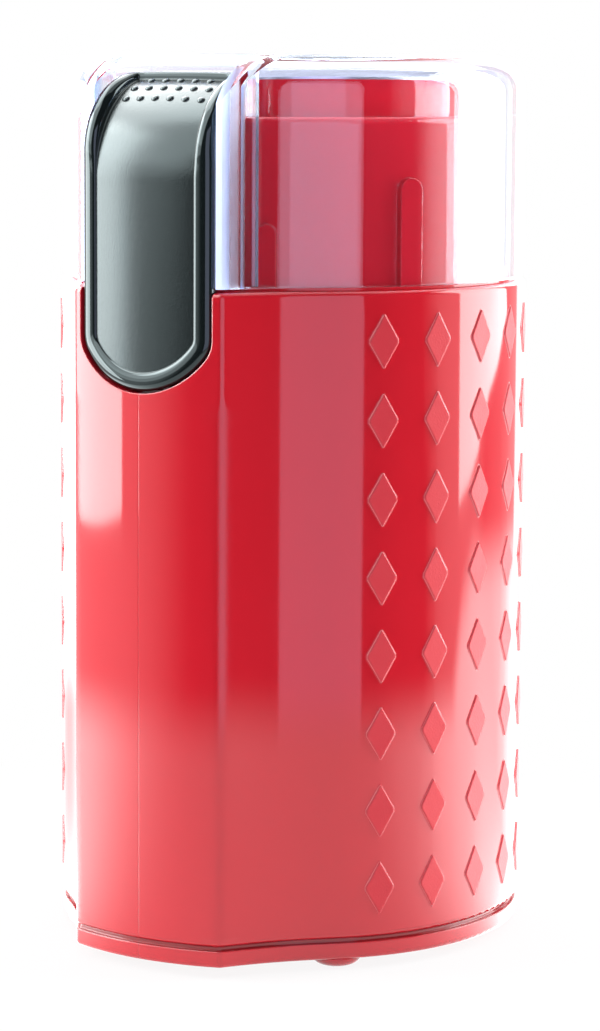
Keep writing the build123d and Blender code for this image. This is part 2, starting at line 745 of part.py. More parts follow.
# Micro switch behind the pocket wall
with BuildPart() as micro_switch:
    with BuildSketch(front_plane.offset(switch_back)):
        with Locations((0, switch_top - switch_height / 2)):
            Rectangle(switch_width, switch_height)
    extrude(amount=switch_depth)
    chamfer(micro_switch.edges().filter_by(Axis.Y), switch_chamfer)
    with BuildSketch(axis_plane.offset(switch_top - switch_height)):
        with Locations((0, -switch_back - switch_depth / 2)):
            with GridLocations(switch_terminal_pitch, 0, switch_terminal_count, 1):
                Rectangle(switch_terminal_thickness, switch_terminal_width)
    extrude(amount=-switch_terminal_length)
    bar(0, plunger_height, switch_front, switch_front - plunger_well, plunger_radius + fit, Mode.SUBTRACT)
    for side in (-1, 1):
        bar(side * switch_screw_offset, switch_screw_height, switch_front, switch_back,
            switch_screw_radius + fit, Mode.SUBTRACT)
micro_switch.part.label = "micro_switch"
export_step(micro_switch.part, "parts/micro_switch.step")

# Plunger that the lever's nub pushes
with BuildPart() as switch_plunger:
    bar(0, plunger_height, plunger_tip, switch_front - plunger_depth, plunger_radius)
switch_plunger.part.label = "switch_plunger"
export_step(switch_plunger.part, "parts/switch_plunger.step")

# Screws that hold the switch to the pocket wall
with BuildPart() as switch_screws:
    for side in (-1, 1):
        screw_x = side * switch_screw_offset
        bar(screw_x, switch_screw_height, switch_front + switch_screw_grip, switch_back, switch_screw_radius)
        bar(screw_x, switch_screw_height, switch_back, switch_back - switch_screw_head_height,
            switch_screw_head_radius)
switch_screws.part.label = "switch_screws"
export_step(switch_screws.part, "parts/switch_screws.step")

# Motor shaft from the fan up to the blade nut
with BuildPart() as motor_shaft:
    ring(shaft_bottom, blade_top + nut_height, shaft_radius)
motor_shaft.part.label = "motor_shaft"
export_step(motor_shaft.part, "parts/motor_shaft.step")

# Rotor core: a slotted stack of laminations
with BuildPart() as rotor_core:
    with BuildSketch(axis_plane.offset(stack_bottom)):
        Circle(rotor_radius)
        Circle(shaft_radius + fit, mode=Mode.SUBTRACT)
        with PolarLocations(rotor_radius - rotor_slot_depth, rotor_slots):
            Rectangle(rotor_slot_depth + overrun, rotor_slot_width, align=(Align.MIN, Align.CENTER),
                      mode=Mode.SUBTRACT)
    extrude(amount=stack_height)
rotor_core.part.label = "rotor_core"
export_step(rotor_core.part, "parts/rotor_core.step")

# Rotor winding: bars in the slots joined by a bell at each end
with BuildPart() as rotor_winding:
    bar_start = rotor_radius - rotor_slot_depth + fit
    with BuildSketch(axis_plane.offset(stack_bottom - winding_height)):
        with PolarLocations(bar_start, rotor_slots):
            Rectangle(winding_radius - bar_start, rotor_slot_width - 2 * clearance,
                      align=(Align.MIN, Align.CENTER))
    extrude(amount=stack_height + 2 * winding_height)
    ring(stack_top, stack_top + winding_height, winding_radius, shaft_radius + clearance)
    ring(stack_bottom - winding_height, stack_bottom, winding_radius, shaft_radius + clearance)
rotor_winding.part.label = "rotor_winding"
export_step(rotor_winding.part, "parts/rotor_winding.step")

# Commutator: a copper drum parted into bars
with BuildPart() as commutator:
    with BuildSketch(axis_plane.offset(commutator_bottom)):
        Circle(commutator_radius)
        Circle(shaft_radius + fit, mode=Mode.SUBTRACT)
        with PolarLocations(commutator_radius, rotor_slots):
            Rectangle(2 * commutator_cut_depth, commutator_cut_width, mode=Mode.SUBTRACT)
    extrude(amount=commutator_height)
commutator.part.label = "commutator"
export_step(commutator.part, "parts/commutator.step")

# Cooling fan: swept vanes under a disc, on a hub
with BuildPart() as cooling_fan:
    ring(fan_bottom + fan_vane_height, fan_bottom + fan_vane_height + fan_disc_thickness, fan_radius)
    ring(fan_bottom, fan_bottom + fan_vane_height, fan_hub_radius)
    vane_length = fan_radius - fan_hub_radius
    with BuildSketch(axis_plane.offset(fan_bottom)):
        with PolarLocations(fan_hub_radius + vane_length / 2, fan_vane_count):
            Rectangle(vane_length, fan_vane_thickness, rotation=fan_vane_sweep)
        Circle(fan_radius, mode=Mode.INTERSECT)
    extrude(amount=fan_vane_height)
    ring(fan_bottom, fan_bottom + fan_vane_height + fan_disc_thickness, shaft_radius + fit,
         mode=Mode.SUBTRACT)
cooling_fan.part.label = "cooling_fan"
export_step(cooling_fan.part, "parts/cooling_fan.step")

# Stator core: a yoke with two poles and their shoes
with BuildPart() as stator_core:
    with BuildSketch(axis_plane.offset(stack_bottom)):
        Circle(stator_radius)
        Circle(yoke_inner, mode=Mode.SUBTRACT)
        Rectangle(2 * yoke_middle, pole_width)
        for facing in (0, 180):
            with BuildLine():
                shoe = CenterArc((0, 0), pole_bore + pole_shoe_thickness, facing - pole_shoe_angle / 2,
                                 pole_shoe_angle)
                Polyline(shoe @ 1, (0, 0), shoe @ 0)
            make_face()
        Circle(pole_bore, mode=Mode.SUBTRACT)
        with motor_screw_places:
            Circle(motor_screw_radius + fit, mode=Mode.SUBTRACT)
    extrude(amount=stack_height)
stator_core.part.label = "stator_core"
export_step(stator_core.part, "parts/stator_core.step")

# Field coils, one round each pole
with BuildPart() as field_coils:
    for side in (-1, 1):
        coil_start = pole_bore + pole_shoe_thickness + clearance
        place = (side * coil_start, axis_y, stack_bottom + stack_height / 2)
        with BuildSketch(Plane(origin=place, x_dir=(0, 1, 0), z_dir=(side, 0, 0))):
            inner_width = pole_width + 2 * clearance
            inner_height = stack_height + 2 * clearance
            RectangleRounded(inner_width + 2 * coil_thickness, inner_height + 2 * coil_thickness,
                             coil_corner_radius)
            Rectangle(inner_width, inner_height, mode=Mode.SUBTRACT)
        extrude(amount=coil_depth)
field_coils.part.label = "field_coils"
export_step(field_coils.part, "parts/field_coils.step")

# Upper bracket: spider with the upper bearing seat, on two standoffs over the stator
with BuildPart() as upper_bracket:
    with BuildSketch(axis_plane.offset(upper_plate)):
        Rectangle(bracket_arm_width, 2 * yoke_middle)
        with motor_screw_places:
            Circle(bracket_arm_width / 2)
        with PolarLocations(0, damper_count, damper_first_angle):
            Rectangle(damper_circle_radius, 2 * damper_radius, align=(Align.MIN, Align.CENTER))
        with damper_places:
            Circle(damper_radius)
    extrude(amount=bracket_thickness)
    ring(upper_plate - hub_drop, upper_plate_top + hub_rise, hub_radius)
    pegs(motor_screw_places, stack_top, upper_plate, standoff_radius)
    ring(upper_plate - hub_drop, upper_plate_top + hub_rise, bearing_radius + fit, mode=Mode.SUBTRACT)
    pegs(motor_screw_places, stack_top, upper_plate_top, motor_screw_radius + fit, Mode.SUBTRACT)
    pegs(damper_places, upper_plate, upper_plate_top, damper_screw_radius + fit, Mode.SUBTRACT)
upper_bracket.part.label = "upper_bracket"
export_step(upper_bracket.part, "parts/upper_bracket.step")

# Lower bracket: cross bar with the lower bearing seat and the brush holder arms
with BuildPart() as lower_bracket:
    with BuildSketch(axis_plane.offset(lower_plate)):
        Rectangle(bracket_arm_width, 2 * yoke_middle)
        with motor_screw_places:
            Circle(bracket_arm_width / 2)
        Rectangle(2 * holder_end, bracket_arm_width)
    extrude(amount=bracket_thickness)
    ring(lower_plate - lower_hub_drop, lower_plate_top, hub_radius)
    pegs(motor_screw_places, lower_plate_top, stack_bottom, standoff_radius)
    ring(lower_plate - lower_hub_drop, lower_plate_top, bearing_radius + fit, mode=Mode.SUBTRACT)
    pegs(motor_screw_places, lower_plate, stack_bottom, motor_screw_radius + fit, Mode.SUBTRACT)
lower_bracket.part.label = "lower_bracket"
export_step(lower_bracket.part, "parts/lower_bracket.step")

# Sintered bearing bushes
with BuildPart() as upper_bearing:
    ring(upper_plate - hub_drop, upper_plate_top + hub_rise, bearing_radius, shaft_radius + fit)
upper_bearing.part.label = "upper_bearing"
export_step(upper_bearing.part, "parts/upper_bearing.step")

with BuildPart() as lower_bearing:
    ring(lower_plate - lower_hub_drop, lower_plate_top, bearing_radius, shaft_radius + fit)
lower_bearing.part.label = "lower_bearing"
export_step(lower_bearing.part, "parts/lower_bearing.step")

# Long screws that clamp the stator between the brackets
with BuildPart() as motor_screws:
    pegs(motor_screw_places, lower_plate - motor_screw_head_height, lower_plate, motor_screw_head_radius)
    pegs(motor_screw_places, lower_plate, upper_plate_top, motor_screw_radius)
motor_screws.part.label = "motor_screws"
export_step(motor_screws.part, "parts/motor_screws.step")

# Rubber dampers between the bracket and the collar's hangers
with BuildPart() as motor_dampers:
    pegs(damper_places, upper_plate_top, hanger_bottom, damper_radius)
    pegs(damper_places, upper_plate_top, hanger_bottom, damper_screw_radius + fit, Mode.SUBTRACT)
motor_dampers.part.label = "motor_dampers"
export_step(motor_dampers.part, "parts/motor_dampers.step")

# Screws that hang the motor on the collar
with BuildPart() as damper_screws:
    pegs(damper_places, upper_plate - damper_screw_head_height, upper_plate, damper_screw_head_radius)
    pegs(damper_places, upper_plate, upper_plate + damper_screw_length, damper_screw_radius)
damper_screws.part.label = "damper_screws"
export_step(damper_screws.part, "parts/damper_screws.step")

# Brush holders: square tubes on feet, closed at the far end
with BuildPart() as brush_holders:
    for side in (-1, 1):
        holder_plane = Plane(origin=(side * holder_start, axis_y, brush_middle), x_dir=(0, 1, 0),
                             z_dir=(side, 0, 0))
        holder_top = brush_height / 2 + fit + brush_holder_wall
        with BuildSketch(holder_plane):
            with Locations((0, side * holder_top)):
                Rectangle(brush_width + 2 * (fit + brush_holder_wall),
                          holder_top + brush_middle - lower_plate_top,
                          align=(Align.CENTER, Align.MAX if side > 0 else Align.MIN))
        extrude(amount=brush_holder_length)
        with BuildSketch(holder_plane):
            Rectangle(brush_width + 2 * fit, brush_height + 2 * fit)
        extrude(amount=brush_holder_length - brush_holder_wall, mode=Mode.SUBTRACT)
brush_holders.part.label = "brush_holders"
export_step(brush_holders.part, "parts/brush_holders.step")

# Carbon brushes on the commutator, and the springs that push them
brush_start = commutator_radius + fit
brush_end = brush_start + brush_length
with BuildPart() as carbon_brushes:
    for side in (-1, 1):
        brush_place = (side * brush_start, axis_y, brush_middle)
        with BuildSketch(Plane(origin=brush_place, x_dir=(0, 1, 0), z_dir=(side, 0, 0))):
            Rectangle(brush_width, brush_height)
        extrude(amount=brush_length)
carbon_brushes.part.label = "carbon_brushes"
export_step(carbon_brushes.part, "parts/carbon_brushes.step")

with BuildPart() as brush_springs:
    for side in (-1, 1):
        coil_spring((side * brush_end, axis_y, brush_middle), (side, 0, 0),
                    holder_end - brush_holder_wall - brush_end, brush_spring_radius, spring_wire_radius,
                    spring_turns)
brush_springs.part.label = "brush_springs"
export_step(brush_springs.part, "parts/brush_springs.step")

# Blade: a strip with one wing bent up and one down, trimmed to a rounded plan
with BuildPart() as blade:
    with BuildSketch(front_plane):
        with BuildLine():
            lower = Polyline((-blade_radius, blade_bottom - blade_drop), (-blade_flat_half, blade_bottom),
                             (blade_flat_half, blade_bottom), (blade_radius, blade_bottom + blade_lift))
            upper = Polyline((-blade_radius, blade_top - blade_drop), (-blade_flat_half, blade_top),
                             (blade_flat_half, blade_top), (blade_radius, blade_top + blade_lift))
            Line(lower @ 0, upper @ 0)
            Line(lower @ 1, upper @ 1)
        make_face()
    extrude(amount=blade_hub_radius, both=True)
    with BuildSketch(axis_plane.offset(blade_bottom - blade_drop)):
        SlotOverall(2 * blade_radius, blade_width)
        Circle(blade_hub_radius)
        Circle(shaft_radius + fit, mode=Mode.SUBTRACT)
    extrude(amount=blade_drop + blade_thickness + blade_lift, mode=Mode.INTERSECT)
blade.part.label = "blade"
export_step(blade.part, "parts/blade.step")

# Spacer under the blade
with BuildPart() as blade_spacer:
    ring(spacer_bottom, blade_bottom, spacer_radius, shaft_radius + fit)
blade_spacer.part.label = "blade_spacer"
export_step(blade_spacer.part, "parts/blade_spacer.step")

# Domed nut over the blade
with BuildPart() as blade_nut:
    with BuildSketch(axis_plane.offset(blade_top)):
        RegularPolygon(nut_radius, nut_sides)
    extrude(amount=nut_height)
    with BuildSketch(axis_plane.offset(blade_top + nut_height)):
        Circle(nut_radius * cos(radians(180 / nut_sides)))
    extrude(amount=nut_dome_height, taper=nut_dome_draft)
    ring(blade_top, blade_top + nut_height + fit, shaft_radius + fit, mode=Mode.SUBTRACT)
blade_nut.part.label = "blade_nut"
export_step(blade_nut.part, "parts/blade_nut.step")

# Suppression capacitor standing on the base plate
with BuildPart() as suppression_capacitor:
    with BuildSketch(axis_plane.offset(flange_top)):
        with Locations((0, capacitor_offset)):
            Rectangle(capacitor_length, capacitor_width)
    extrude(amount=capacitor_height)
    fillet(suppression_capacitor.edges().filter_by(Axis.Z), capacitor_edge_radius)
suppression_capacitor.part.label = "suppression_capacitor"
export_step(suppression_capacitor.part, "parts/suppression_capacitor.step")
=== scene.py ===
# %% [markdown]
# # A red coffee grinder, dressed for a studio photograph
# The solids of the grinder arrive as a fixed frame: every node already stands where it belongs, in metres.
# This lesson gives those solids their finishes, lowers the studs of the housing, makes the press lever
# again as one flowing surface, and lights the whole thing like a catalogue picture. First come the imports
# and the frame itself.

from math import cos, pi, radians, sin, sqrt

import bmesh
import bpy
import numpy as np
from mathutils import Matrix, Quaternion, Vector


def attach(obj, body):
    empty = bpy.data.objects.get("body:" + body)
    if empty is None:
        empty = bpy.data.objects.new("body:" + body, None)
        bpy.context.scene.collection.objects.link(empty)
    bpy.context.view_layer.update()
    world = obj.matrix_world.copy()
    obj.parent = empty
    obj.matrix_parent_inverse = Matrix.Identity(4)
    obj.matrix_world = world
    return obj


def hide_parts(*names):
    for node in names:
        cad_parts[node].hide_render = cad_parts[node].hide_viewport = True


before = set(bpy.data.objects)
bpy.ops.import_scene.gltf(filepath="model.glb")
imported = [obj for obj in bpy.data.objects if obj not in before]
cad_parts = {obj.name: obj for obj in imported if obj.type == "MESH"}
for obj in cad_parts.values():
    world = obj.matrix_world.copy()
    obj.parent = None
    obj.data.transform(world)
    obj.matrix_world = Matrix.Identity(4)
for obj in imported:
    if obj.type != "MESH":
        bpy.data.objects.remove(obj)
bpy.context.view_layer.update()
scene = bpy.context.scene
scene.view_settings.view_transform = "Standard"

# %% [markdown]
# ## Camera
# The picture was taken from the front right, a little above the lid, with a long lens. A camera in Blender
# looks along its own -Z, so its matrix holds the right, up and backward directions as columns. Giving the
# matrix directly is simpler than aiming with a constraint, because the small roll is part of it. The round
# body and everything that turns share one upright axis, which stands at axis_y.

# %% Place the camera
axis_y = 0.0036
image_height = 1031
focal_pixels = 3488.0
film_width = 36.0
nearest_seen = 0.05
camera_place = Vector((0.3635, -0.5715, 0.1717))
camera_turn = radians(32.164)
camera_pitch = radians(7.672)
camera_roll = radians(0.338)

forward = Vector((-sin(camera_turn) * cos(camera_pitch), cos(camera_turn) * cos(camera_pitch),
                  -sin(camera_pitch)))
level_right = Vector((cos(camera_turn), sin(camera_turn), 0))
level_up = level_right.cross(forward)
camera_right = cos(camera_roll) * level_right + sin(camera_roll) * level_up
camera_up = camera_right.cross(forward)
camera_data = bpy.data.cameras.new("camera")
camera_data.sensor_width = film_width
camera_data.lens = film_width * focal_pixels / image_height
camera_data.clip_start = nearest_seen
camera = bpy.data.objects.new("camera", camera_data)
camera_axes = Matrix((camera_right, camera_up, -forward)).transposed()
camera.matrix_world = Matrix.Translation(camera_place) @ camera_axes.to_4x4()
scene.collection.objects.link(camera)
scene.camera = camera
print("lens:", round(camera_data.lens, 1), "mm")

# %% [markdown]
# ## Shader maths
# A finish is a tree of nodes. Adding each node by hand hides the sums that it makes, so two small classes do
# the wiring: Value wraps one output socket and turns Python's operators into Math nodes, and Finish owns a
# material, or the world, and adds any other node from its type, its settings and its inputs.

# %% Value: one socket that can be summed


class Value:
    """One output socket. Sums with numbers or other values add Math nodes."""

    def __init__(self, finish, socket):
        self.finish = finish
        self.socket = socket

    def maths(self, operation, *others):
        """One Math node, with this value as its first input."""
        inputs = dict(enumerate((self,) + others))
        return self.finish.node("ShaderNodeMath", {"operation": operation}, inputs)

    def __add__(self, other):
        return self.maths("ADD", other)

    __radd__ = __add__

    def __mul__(self, other):
        return self.maths("MULTIPLY", other)

    __rmul__ = __mul__

    def __sub__(self, other):
        return self.maths("SUBTRACT", other)

    def __rsub__(self, other):
        return self.finish.node("ShaderNodeMath", {"operation": "SUBTRACT"}, {0: other, 1: self})

    def __truediv__(self, other):
        return self.maths("DIVIDE", other)

    def __pow__(self, other):
        return self.maths("POWER", other)

    def __abs__(self):
        return self.maths("ABSOLUTE")

    def step(self, low, high):
        """0 below low, 1 above high and a smooth rise between them."""
        settings = {"interpolation_type": "SMOOTHSTEP"}
        return self.finish.node("ShaderNodeMapRange", settings, {0: self, 1: low, 2: high})


def flat_reach(x, y):
    """Distance in plan: the root of x squared plus y squared."""
    return (x**2 + y**2) ** 0.5


print("Value is ready:", Value.__doc__)

# %% Finish: a node tree that grows


class Finish:
    """A material, or the world, whose node tree grows through node()."""

    def __init__(self, name, target=None):
        if target is None:
            target = bpy.data.materials.new(name)
            target.use_nodes = True
        self.target = target
        self.tree = target.node_tree
        self.tree.nodes.clear()

    def node(self, kind, settings=None, inputs=None, output=0):
        """Add a node: its settings first, then each input as a value or a link. Returns one output."""
        made = self.tree.nodes.new(kind)
        for name, value in (settings or {}).items():
            setattr(made, name, value)
        for key, value in (inputs or {}).items():
            if isinstance(value, Value):
                self.tree.links.new(value.socket, made.inputs[key])
            else:
                made.inputs[key].default_value = value
        return Value(self, made.outputs[output])

    def place(self):
        """Object coordinates, in metres, as a vector and its three parts."""
        vector = self.node("ShaderNodeTexCoord", output="Object")
        parts = self.node("ShaderNodeSeparateXYZ", inputs={0: vector}).socket.node
        return vector, [Value(self, socket) for socket in parts.outputs]

    def noise(self, vector, scale, detail=2.0, roughness=0.5):
        """Cloudy values round 0.5, with about scale clouds to the metre."""
        inputs = {"Vector": vector, "Scale": scale, "Detail": detail, "Roughness": roughness}
        return self.node("ShaderNodeTexNoise", inputs=inputs)

    def mix(self, share, first, second):
        """Blend two colours, or two normals, by a value."""
        settings = {"data_type": "RGBA"}
        return self.node("ShaderNodeMix", settings, {0: share, 6: first, 7: second}, output=2)

    def bump(self, height, distance, strength, normal=None):
        """A normal bent by a height, whose rise from 0 to 1 stands for a distance in metres."""
        inputs = {"Height": height, "Distance": distance, "Strength": strength}
        if normal is not None:
            inputs["Normal"] = normal
        return self.node("ShaderNodeBump", inputs=inputs)

    def shader(self, **sockets):
        """The Principled shader, with underscores in the names standing for spaces."""
        inputs = {name.replace("_", " "): value for name, value in sockets.items()}
        return self.node("ShaderNodeBsdfPrincipled", inputs=inputs)

    def output(self, surface):
        """Close the tree with this surface and return the material, or the world."""
        is_world = isinstance(self.target, bpy.types.World)
        end = self.tree.nodes.new("ShaderNodeOutputWorld" if is_world else "ShaderNodeOutputMaterial")
        self.tree.links.new(surface.socket, end.inputs["Surface"])
        return self.target


def dress(material, *nodes):
    """Give CAD nodes a material in place of the plain one they came with."""
    for name in nodes:
        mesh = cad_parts[name].data
        mesh.materials.clear()
        mesh.materials.append(material)
    print(material.name, "on", len(nodes), "nodes")


# %% [markdown]
# ## Studio
# The background is a white sweep. A big white box round the object would do it, but it would also light the
# red flat from all sides. So the world answers each kind of ray in its own way, and Light Path tells them
# apart. It is white to the camera and straight through the clear lid. Rays that the lid's thick edges bend
# away from the back see pale blue walls. Glossy surfaces see a studio: bright behind the grinder, a glow at
# both sides and dark on the camera's side, so that the red keeps its depth. Matt surfaces get an even fill.
# Glossy Depth tells a look straight through the lid from a mirror image inside it.

# %% Kinds of ray
once_mirrored = (0.4, 0.6)
twice_mirrored = (1.4, 1.6)


def ray_kinds(finish):
    """Masks from Light Path: seen straight, matt, lost after two mirrorings, and through clear walls.

    Seen straight means by the camera itself, or through clear walls with no mirroring on the way.
    """
    path = finish.node("ShaderNodeLightPath").socket.node
    camera_ray, clear_ray, matt_ray, mirrorings = (
        Value(finish, path.outputs[name])
        for name in ("Is Camera Ray", "Is Transmission Ray", "Is Diffuse Ray", "Glossy Depth"))
    through = clear_ray * (1 - mirrorings.step(*once_mirrored))
    straight = camera_ray.maths("MAXIMUM", through)
    return straight, matt_ray, mirrorings.step(*twice_mirrored), through


print("Glossy Depth limits:", once_mirrored, twice_mirrored)

# %% World
behind = Vector((-sin(camera_turn), cos(camera_turn), 0))
front_level = 0.05
side_level = 1.6
fill_level = 0.30
trapped_level = 0.95
back_spread = (0.0, 0.8)
right_spread = (0.9, 1.0)
left_spread = (0.6, 1.0)
straight_spread = (0.80, 0.94)
white = (1, 1, 1, 1)
pale_blue = (0.58, 0.69, 0.96, 1)
world = bpy.data.worlds.new("studio")
scene.world = world
world.use_nodes = True
room = Finish("studio", world)
direction = room.node("ShaderNodeTexCoord", output="Generated")


def towards(way):
    """How much a ray points a given way: the cosine of the angle between them."""
    return room.node("ShaderNodeVectorMath", {"operation": "DOT_PRODUCT"}, {0: direction, 1: way}, 1)


towards_back = towards(behind)
right_glow = towards(level_right).step(*right_spread)
left_glow = towards(-level_right).step(*left_spread)
mirrored = front_level + (1 - front_level) * towards_back.step(*back_spread)
mirrored = mirrored + side_level * (right_glow + left_glow)
room_straight, room_matt, room_trapped, room_through = ray_kinds(room)
mirrored = mirrored + room_trapped * (trapped_level - mirrored)
unseen = mirrored + room_matt * (fill_level - mirrored)
level = unseen + room_straight * (1 - unseen)
bent_away = room_through * (1 - towards_back.step(*straight_spread))
room_colour = room.mix(bent_away, white, pale_blue)
room.output(room.node("ShaderNodeBackground", inputs={"Color": room_colour, "Strength": level}))
print("world: white to the camera, a studio in reflections")

# %% [markdown]
# ## Floor
# The grinder stands on a pale round plate, which is white to the camera with a faint shadow left under the
# feet. The lower part of the glossy housing mirrors it. A plain white plate would mirror as one flat white
# field, so the plate glows by direction instead: most towards both sides, where the lamps stand, and more
# than elsewhere towards the back right. In reflections it also ends past a table's reach, as a small lit
# table would, and that reach is longer to the back right.

# %% Floor plate
floor_radius = 0.66
floor_sides = 96
floor_turn = np.linspace(0, 2 * pi, floor_sides, endpoint=False)
floor_rim = floor_radius * np.stack([np.cos(floor_turn), np.sin(floor_turn), 0 * floor_turn], -1)
floor_mesh = bpy.data.meshes.new("floor")
floor_mesh.from_pydata(floor_rim.tolist(), [], [list(range(floor_sides))])
floor = bpy.data.objects.new("floor", floor_mesh)
scene.collection.objects.link(floor)
print("floor radius:", floor_radius, "m")

# %% Glow of the floor by direction
table_turn = camera_turn + radians(125)
far_spread = (0.80, 0.97)
far_glow = 4.3
middle_glow = 1.62
side_gain = 5.0
side_narrowness = 7
sweep = Finish("pale_sweep")
sweep_straight, sweep_matt, _, _ = ray_kinds(sweep)
sweep_vector, (sweep_x, sweep_y, _) = sweep.place()
sweep_reach = flat_reach(sweep_x, sweep_y)
sweep_side = abs((sweep_x * level_right.x + sweep_y * level_right.y) / sweep_reach)
sweep_far = (sweep_x * sin(table_turn) - sweep_y * cos(table_turn)) / sweep_reach
sweep_glow = middle_glow + side_gain * sweep_side**side_narrowness
sweep_glow = sweep_glow.maths("MAXIMUM", far_glow * sweep_far.step(*far_spread))
print("brightest glow:", middle_glow + side_gain)

# %% Pale floor that opens past the table's reach
table_fade = 0.23
table_reach = 0.35
table_stretch = 0.9
stretch_spread = (0.72, 0.90)
shadow_share = 0.10
shadow_reach = (0.05, 0.16)
tone_scale = 40.0
tone_share = 0.3
floor_white = (0.82, 0.82, 0.82, 1)
floor_grey = (0.76, 0.76, 0.77, 1)
sweep_tone = sweep.noise(sweep_vector, tone_scale) * tone_share
sweep_colour = sweep.mix(sweep_tone, floor_white, floor_grey)
sweep_matte = sweep.node("ShaderNodeBsdfDiffuse", inputs={"Color": sweep_colour})
sweep_light = sweep_glow + sweep_straight * (1 - sweep_glow)
sweep_white = sweep.node("ShaderNodeEmission", inputs={"Color": sweep_light, "Strength": 1.0})
in_shadow = sweep_straight * (1 - sweep_reach.step(*shadow_reach))
sweep_share = (1 - sweep_matt) * (1 - shadow_share * in_shadow)
sweep_mix = sweep.node("ShaderNodeMixShader", inputs={0: sweep_share, 1: sweep_matte, 2: sweep_white})
sweep_open = sweep.node("ShaderNodeBsdfTransparent")
sweep_limit = 1 + table_stretch * sweep_far.step(*stretch_spread)
past_table = (sweep_reach / sweep_limit).step(table_fade, table_reach) * (1 - sweep_straight)
sweep_edge = sweep.node("ShaderNodeMixShader", inputs={0: past_table, 1: sweep_mix, 2: sweep_open})
floor.data.materials.append(sweep.output(sweep_edge))
print("table reach in mirrors:", table_reach, "m")

# %% [markdown]
# ## Lights
# Glowing planes could light the picture, but area lamps are sampled better and can be hidden from some kinds
# of ray. Three upright soft boxes do most of it: a bright one on the right, which draws the white band on
# the round side and is rolled a little, so that its mirror image narrows downwards; one on the left, which
# lights the front panel and the lever; and a dim reflector beside the camera, whose crisp pale band runs
# down the middle. One overhead lights the top. The others only show as mirror images, on the lever's bend
# and on the edges of the body. Those of them that lean over would draw streaks on the lid, so a collection
# that excludes the lid is their receiver. Each lamp is placed by its angle from the camera as seen from the
# grinder, because that angle decides where its mirror image falls on a round body.

# %% Lamp helper
lamp_target = Vector((0, axis_y, 0.085))
past_lid = bpy.data.collections.new("past_lid")
past_lid.objects.link(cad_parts["lid"])
past_lid.collection_objects[0].light_linking.link_state = "EXCLUDE"


def soft_box(name, angle, distance, width, height, radiance, rise=0.0, lean=0, roll=0,
             colour=(1, 1, 1), mirror_only=False):
    """An area lamp at an angle right of the camera and leaning over from a height, facing the grinder.

    A lamp's power is its radiance times its area times pi. One that is for mirror images only lights
    nothing matt and isn't seen through the lid.
    """
    turn = camera_turn + radians(angle)
    tilt = radians(lean)
    away = Vector((sin(turn) * cos(tilt), -cos(turn) * cos(tilt), sin(tilt)))
    data = bpy.data.lights.new(name, "AREA")
    data.shape = "RECTANGLE"
    data.size = width
    data.size_y = height
    data.energy = radiance * width * height * pi
    data.color = colour
    made = bpy.data.objects.new(name, data)
    made.location = lamp_target + away * distance + Vector((0, 0, rise))
    made.rotation_mode = "QUATERNION"
    made.rotation_quaternion = (-away).to_track_quat("-Z", "Y") @ Quaternion((0, 0, 1), radians(roll))
    made.visible_camera = False
    made.visible_diffuse = not mirror_only
    made.visible_transmission = not mirror_only
    if mirror_only and lean:
        made.light_linking.receiver_collection = past_lid
    scene.collection.objects.link(made)
    print(name, "at", [round(v, 2) for v in made.location], "W:", round(data.energy, 1))


# %% Soft boxes
soft_box("right_box", angle=104.5, distance=0.75, rise=0.352, width=0.55, height=0.83, radiance=8.5,
         roll=7.8)
soft_box("left_box", angle=-92.5, distance=0.75, rise=0.300, width=0.50, height=0.80, radiance=9.6)
soft_box("front_reflector", angle=15.4, distance=1.1, rise=0.145, width=0.73, height=1.10, radiance=1.7,
         colour=(1.0, 0.94, 1.25))
soft_box("top_box", angle=180, lean=70, distance=0.9, width=1.20, height=1.20, radiance=1.5)

# %% Lamps for mirror images only
soft_box("high_box", angle=-75, lean=48, distance=0.9, width=1.30, height=1.15, radiance=2.4,
         mirror_only=True)
soft_box("wide_box", angle=-75, lean=42, distance=0.95, width=1.40, height=1.60, radiance=2.2,
         mirror_only=True)
soft_box("roof_box", angle=-135, lean=58, distance=0.9, width=1.10, height=1.10, radiance=5.0,
         mirror_only=True)
soft_box("right_back_box", angle=160, distance=0.9, rise=0.25, width=0.50, height=1.00, radiance=2.4,
         mirror_only=True)
soft_box("left_back_box", angle=-160, distance=0.9, rise=0.25, width=0.55, height=1.00, radiance=2.6,
         mirror_only=True)
soft_box("sky_box", angle=180, lean=36, distance=0.9, width=1.30, height=0.70, radiance=4.0,
         mirror_only=True)
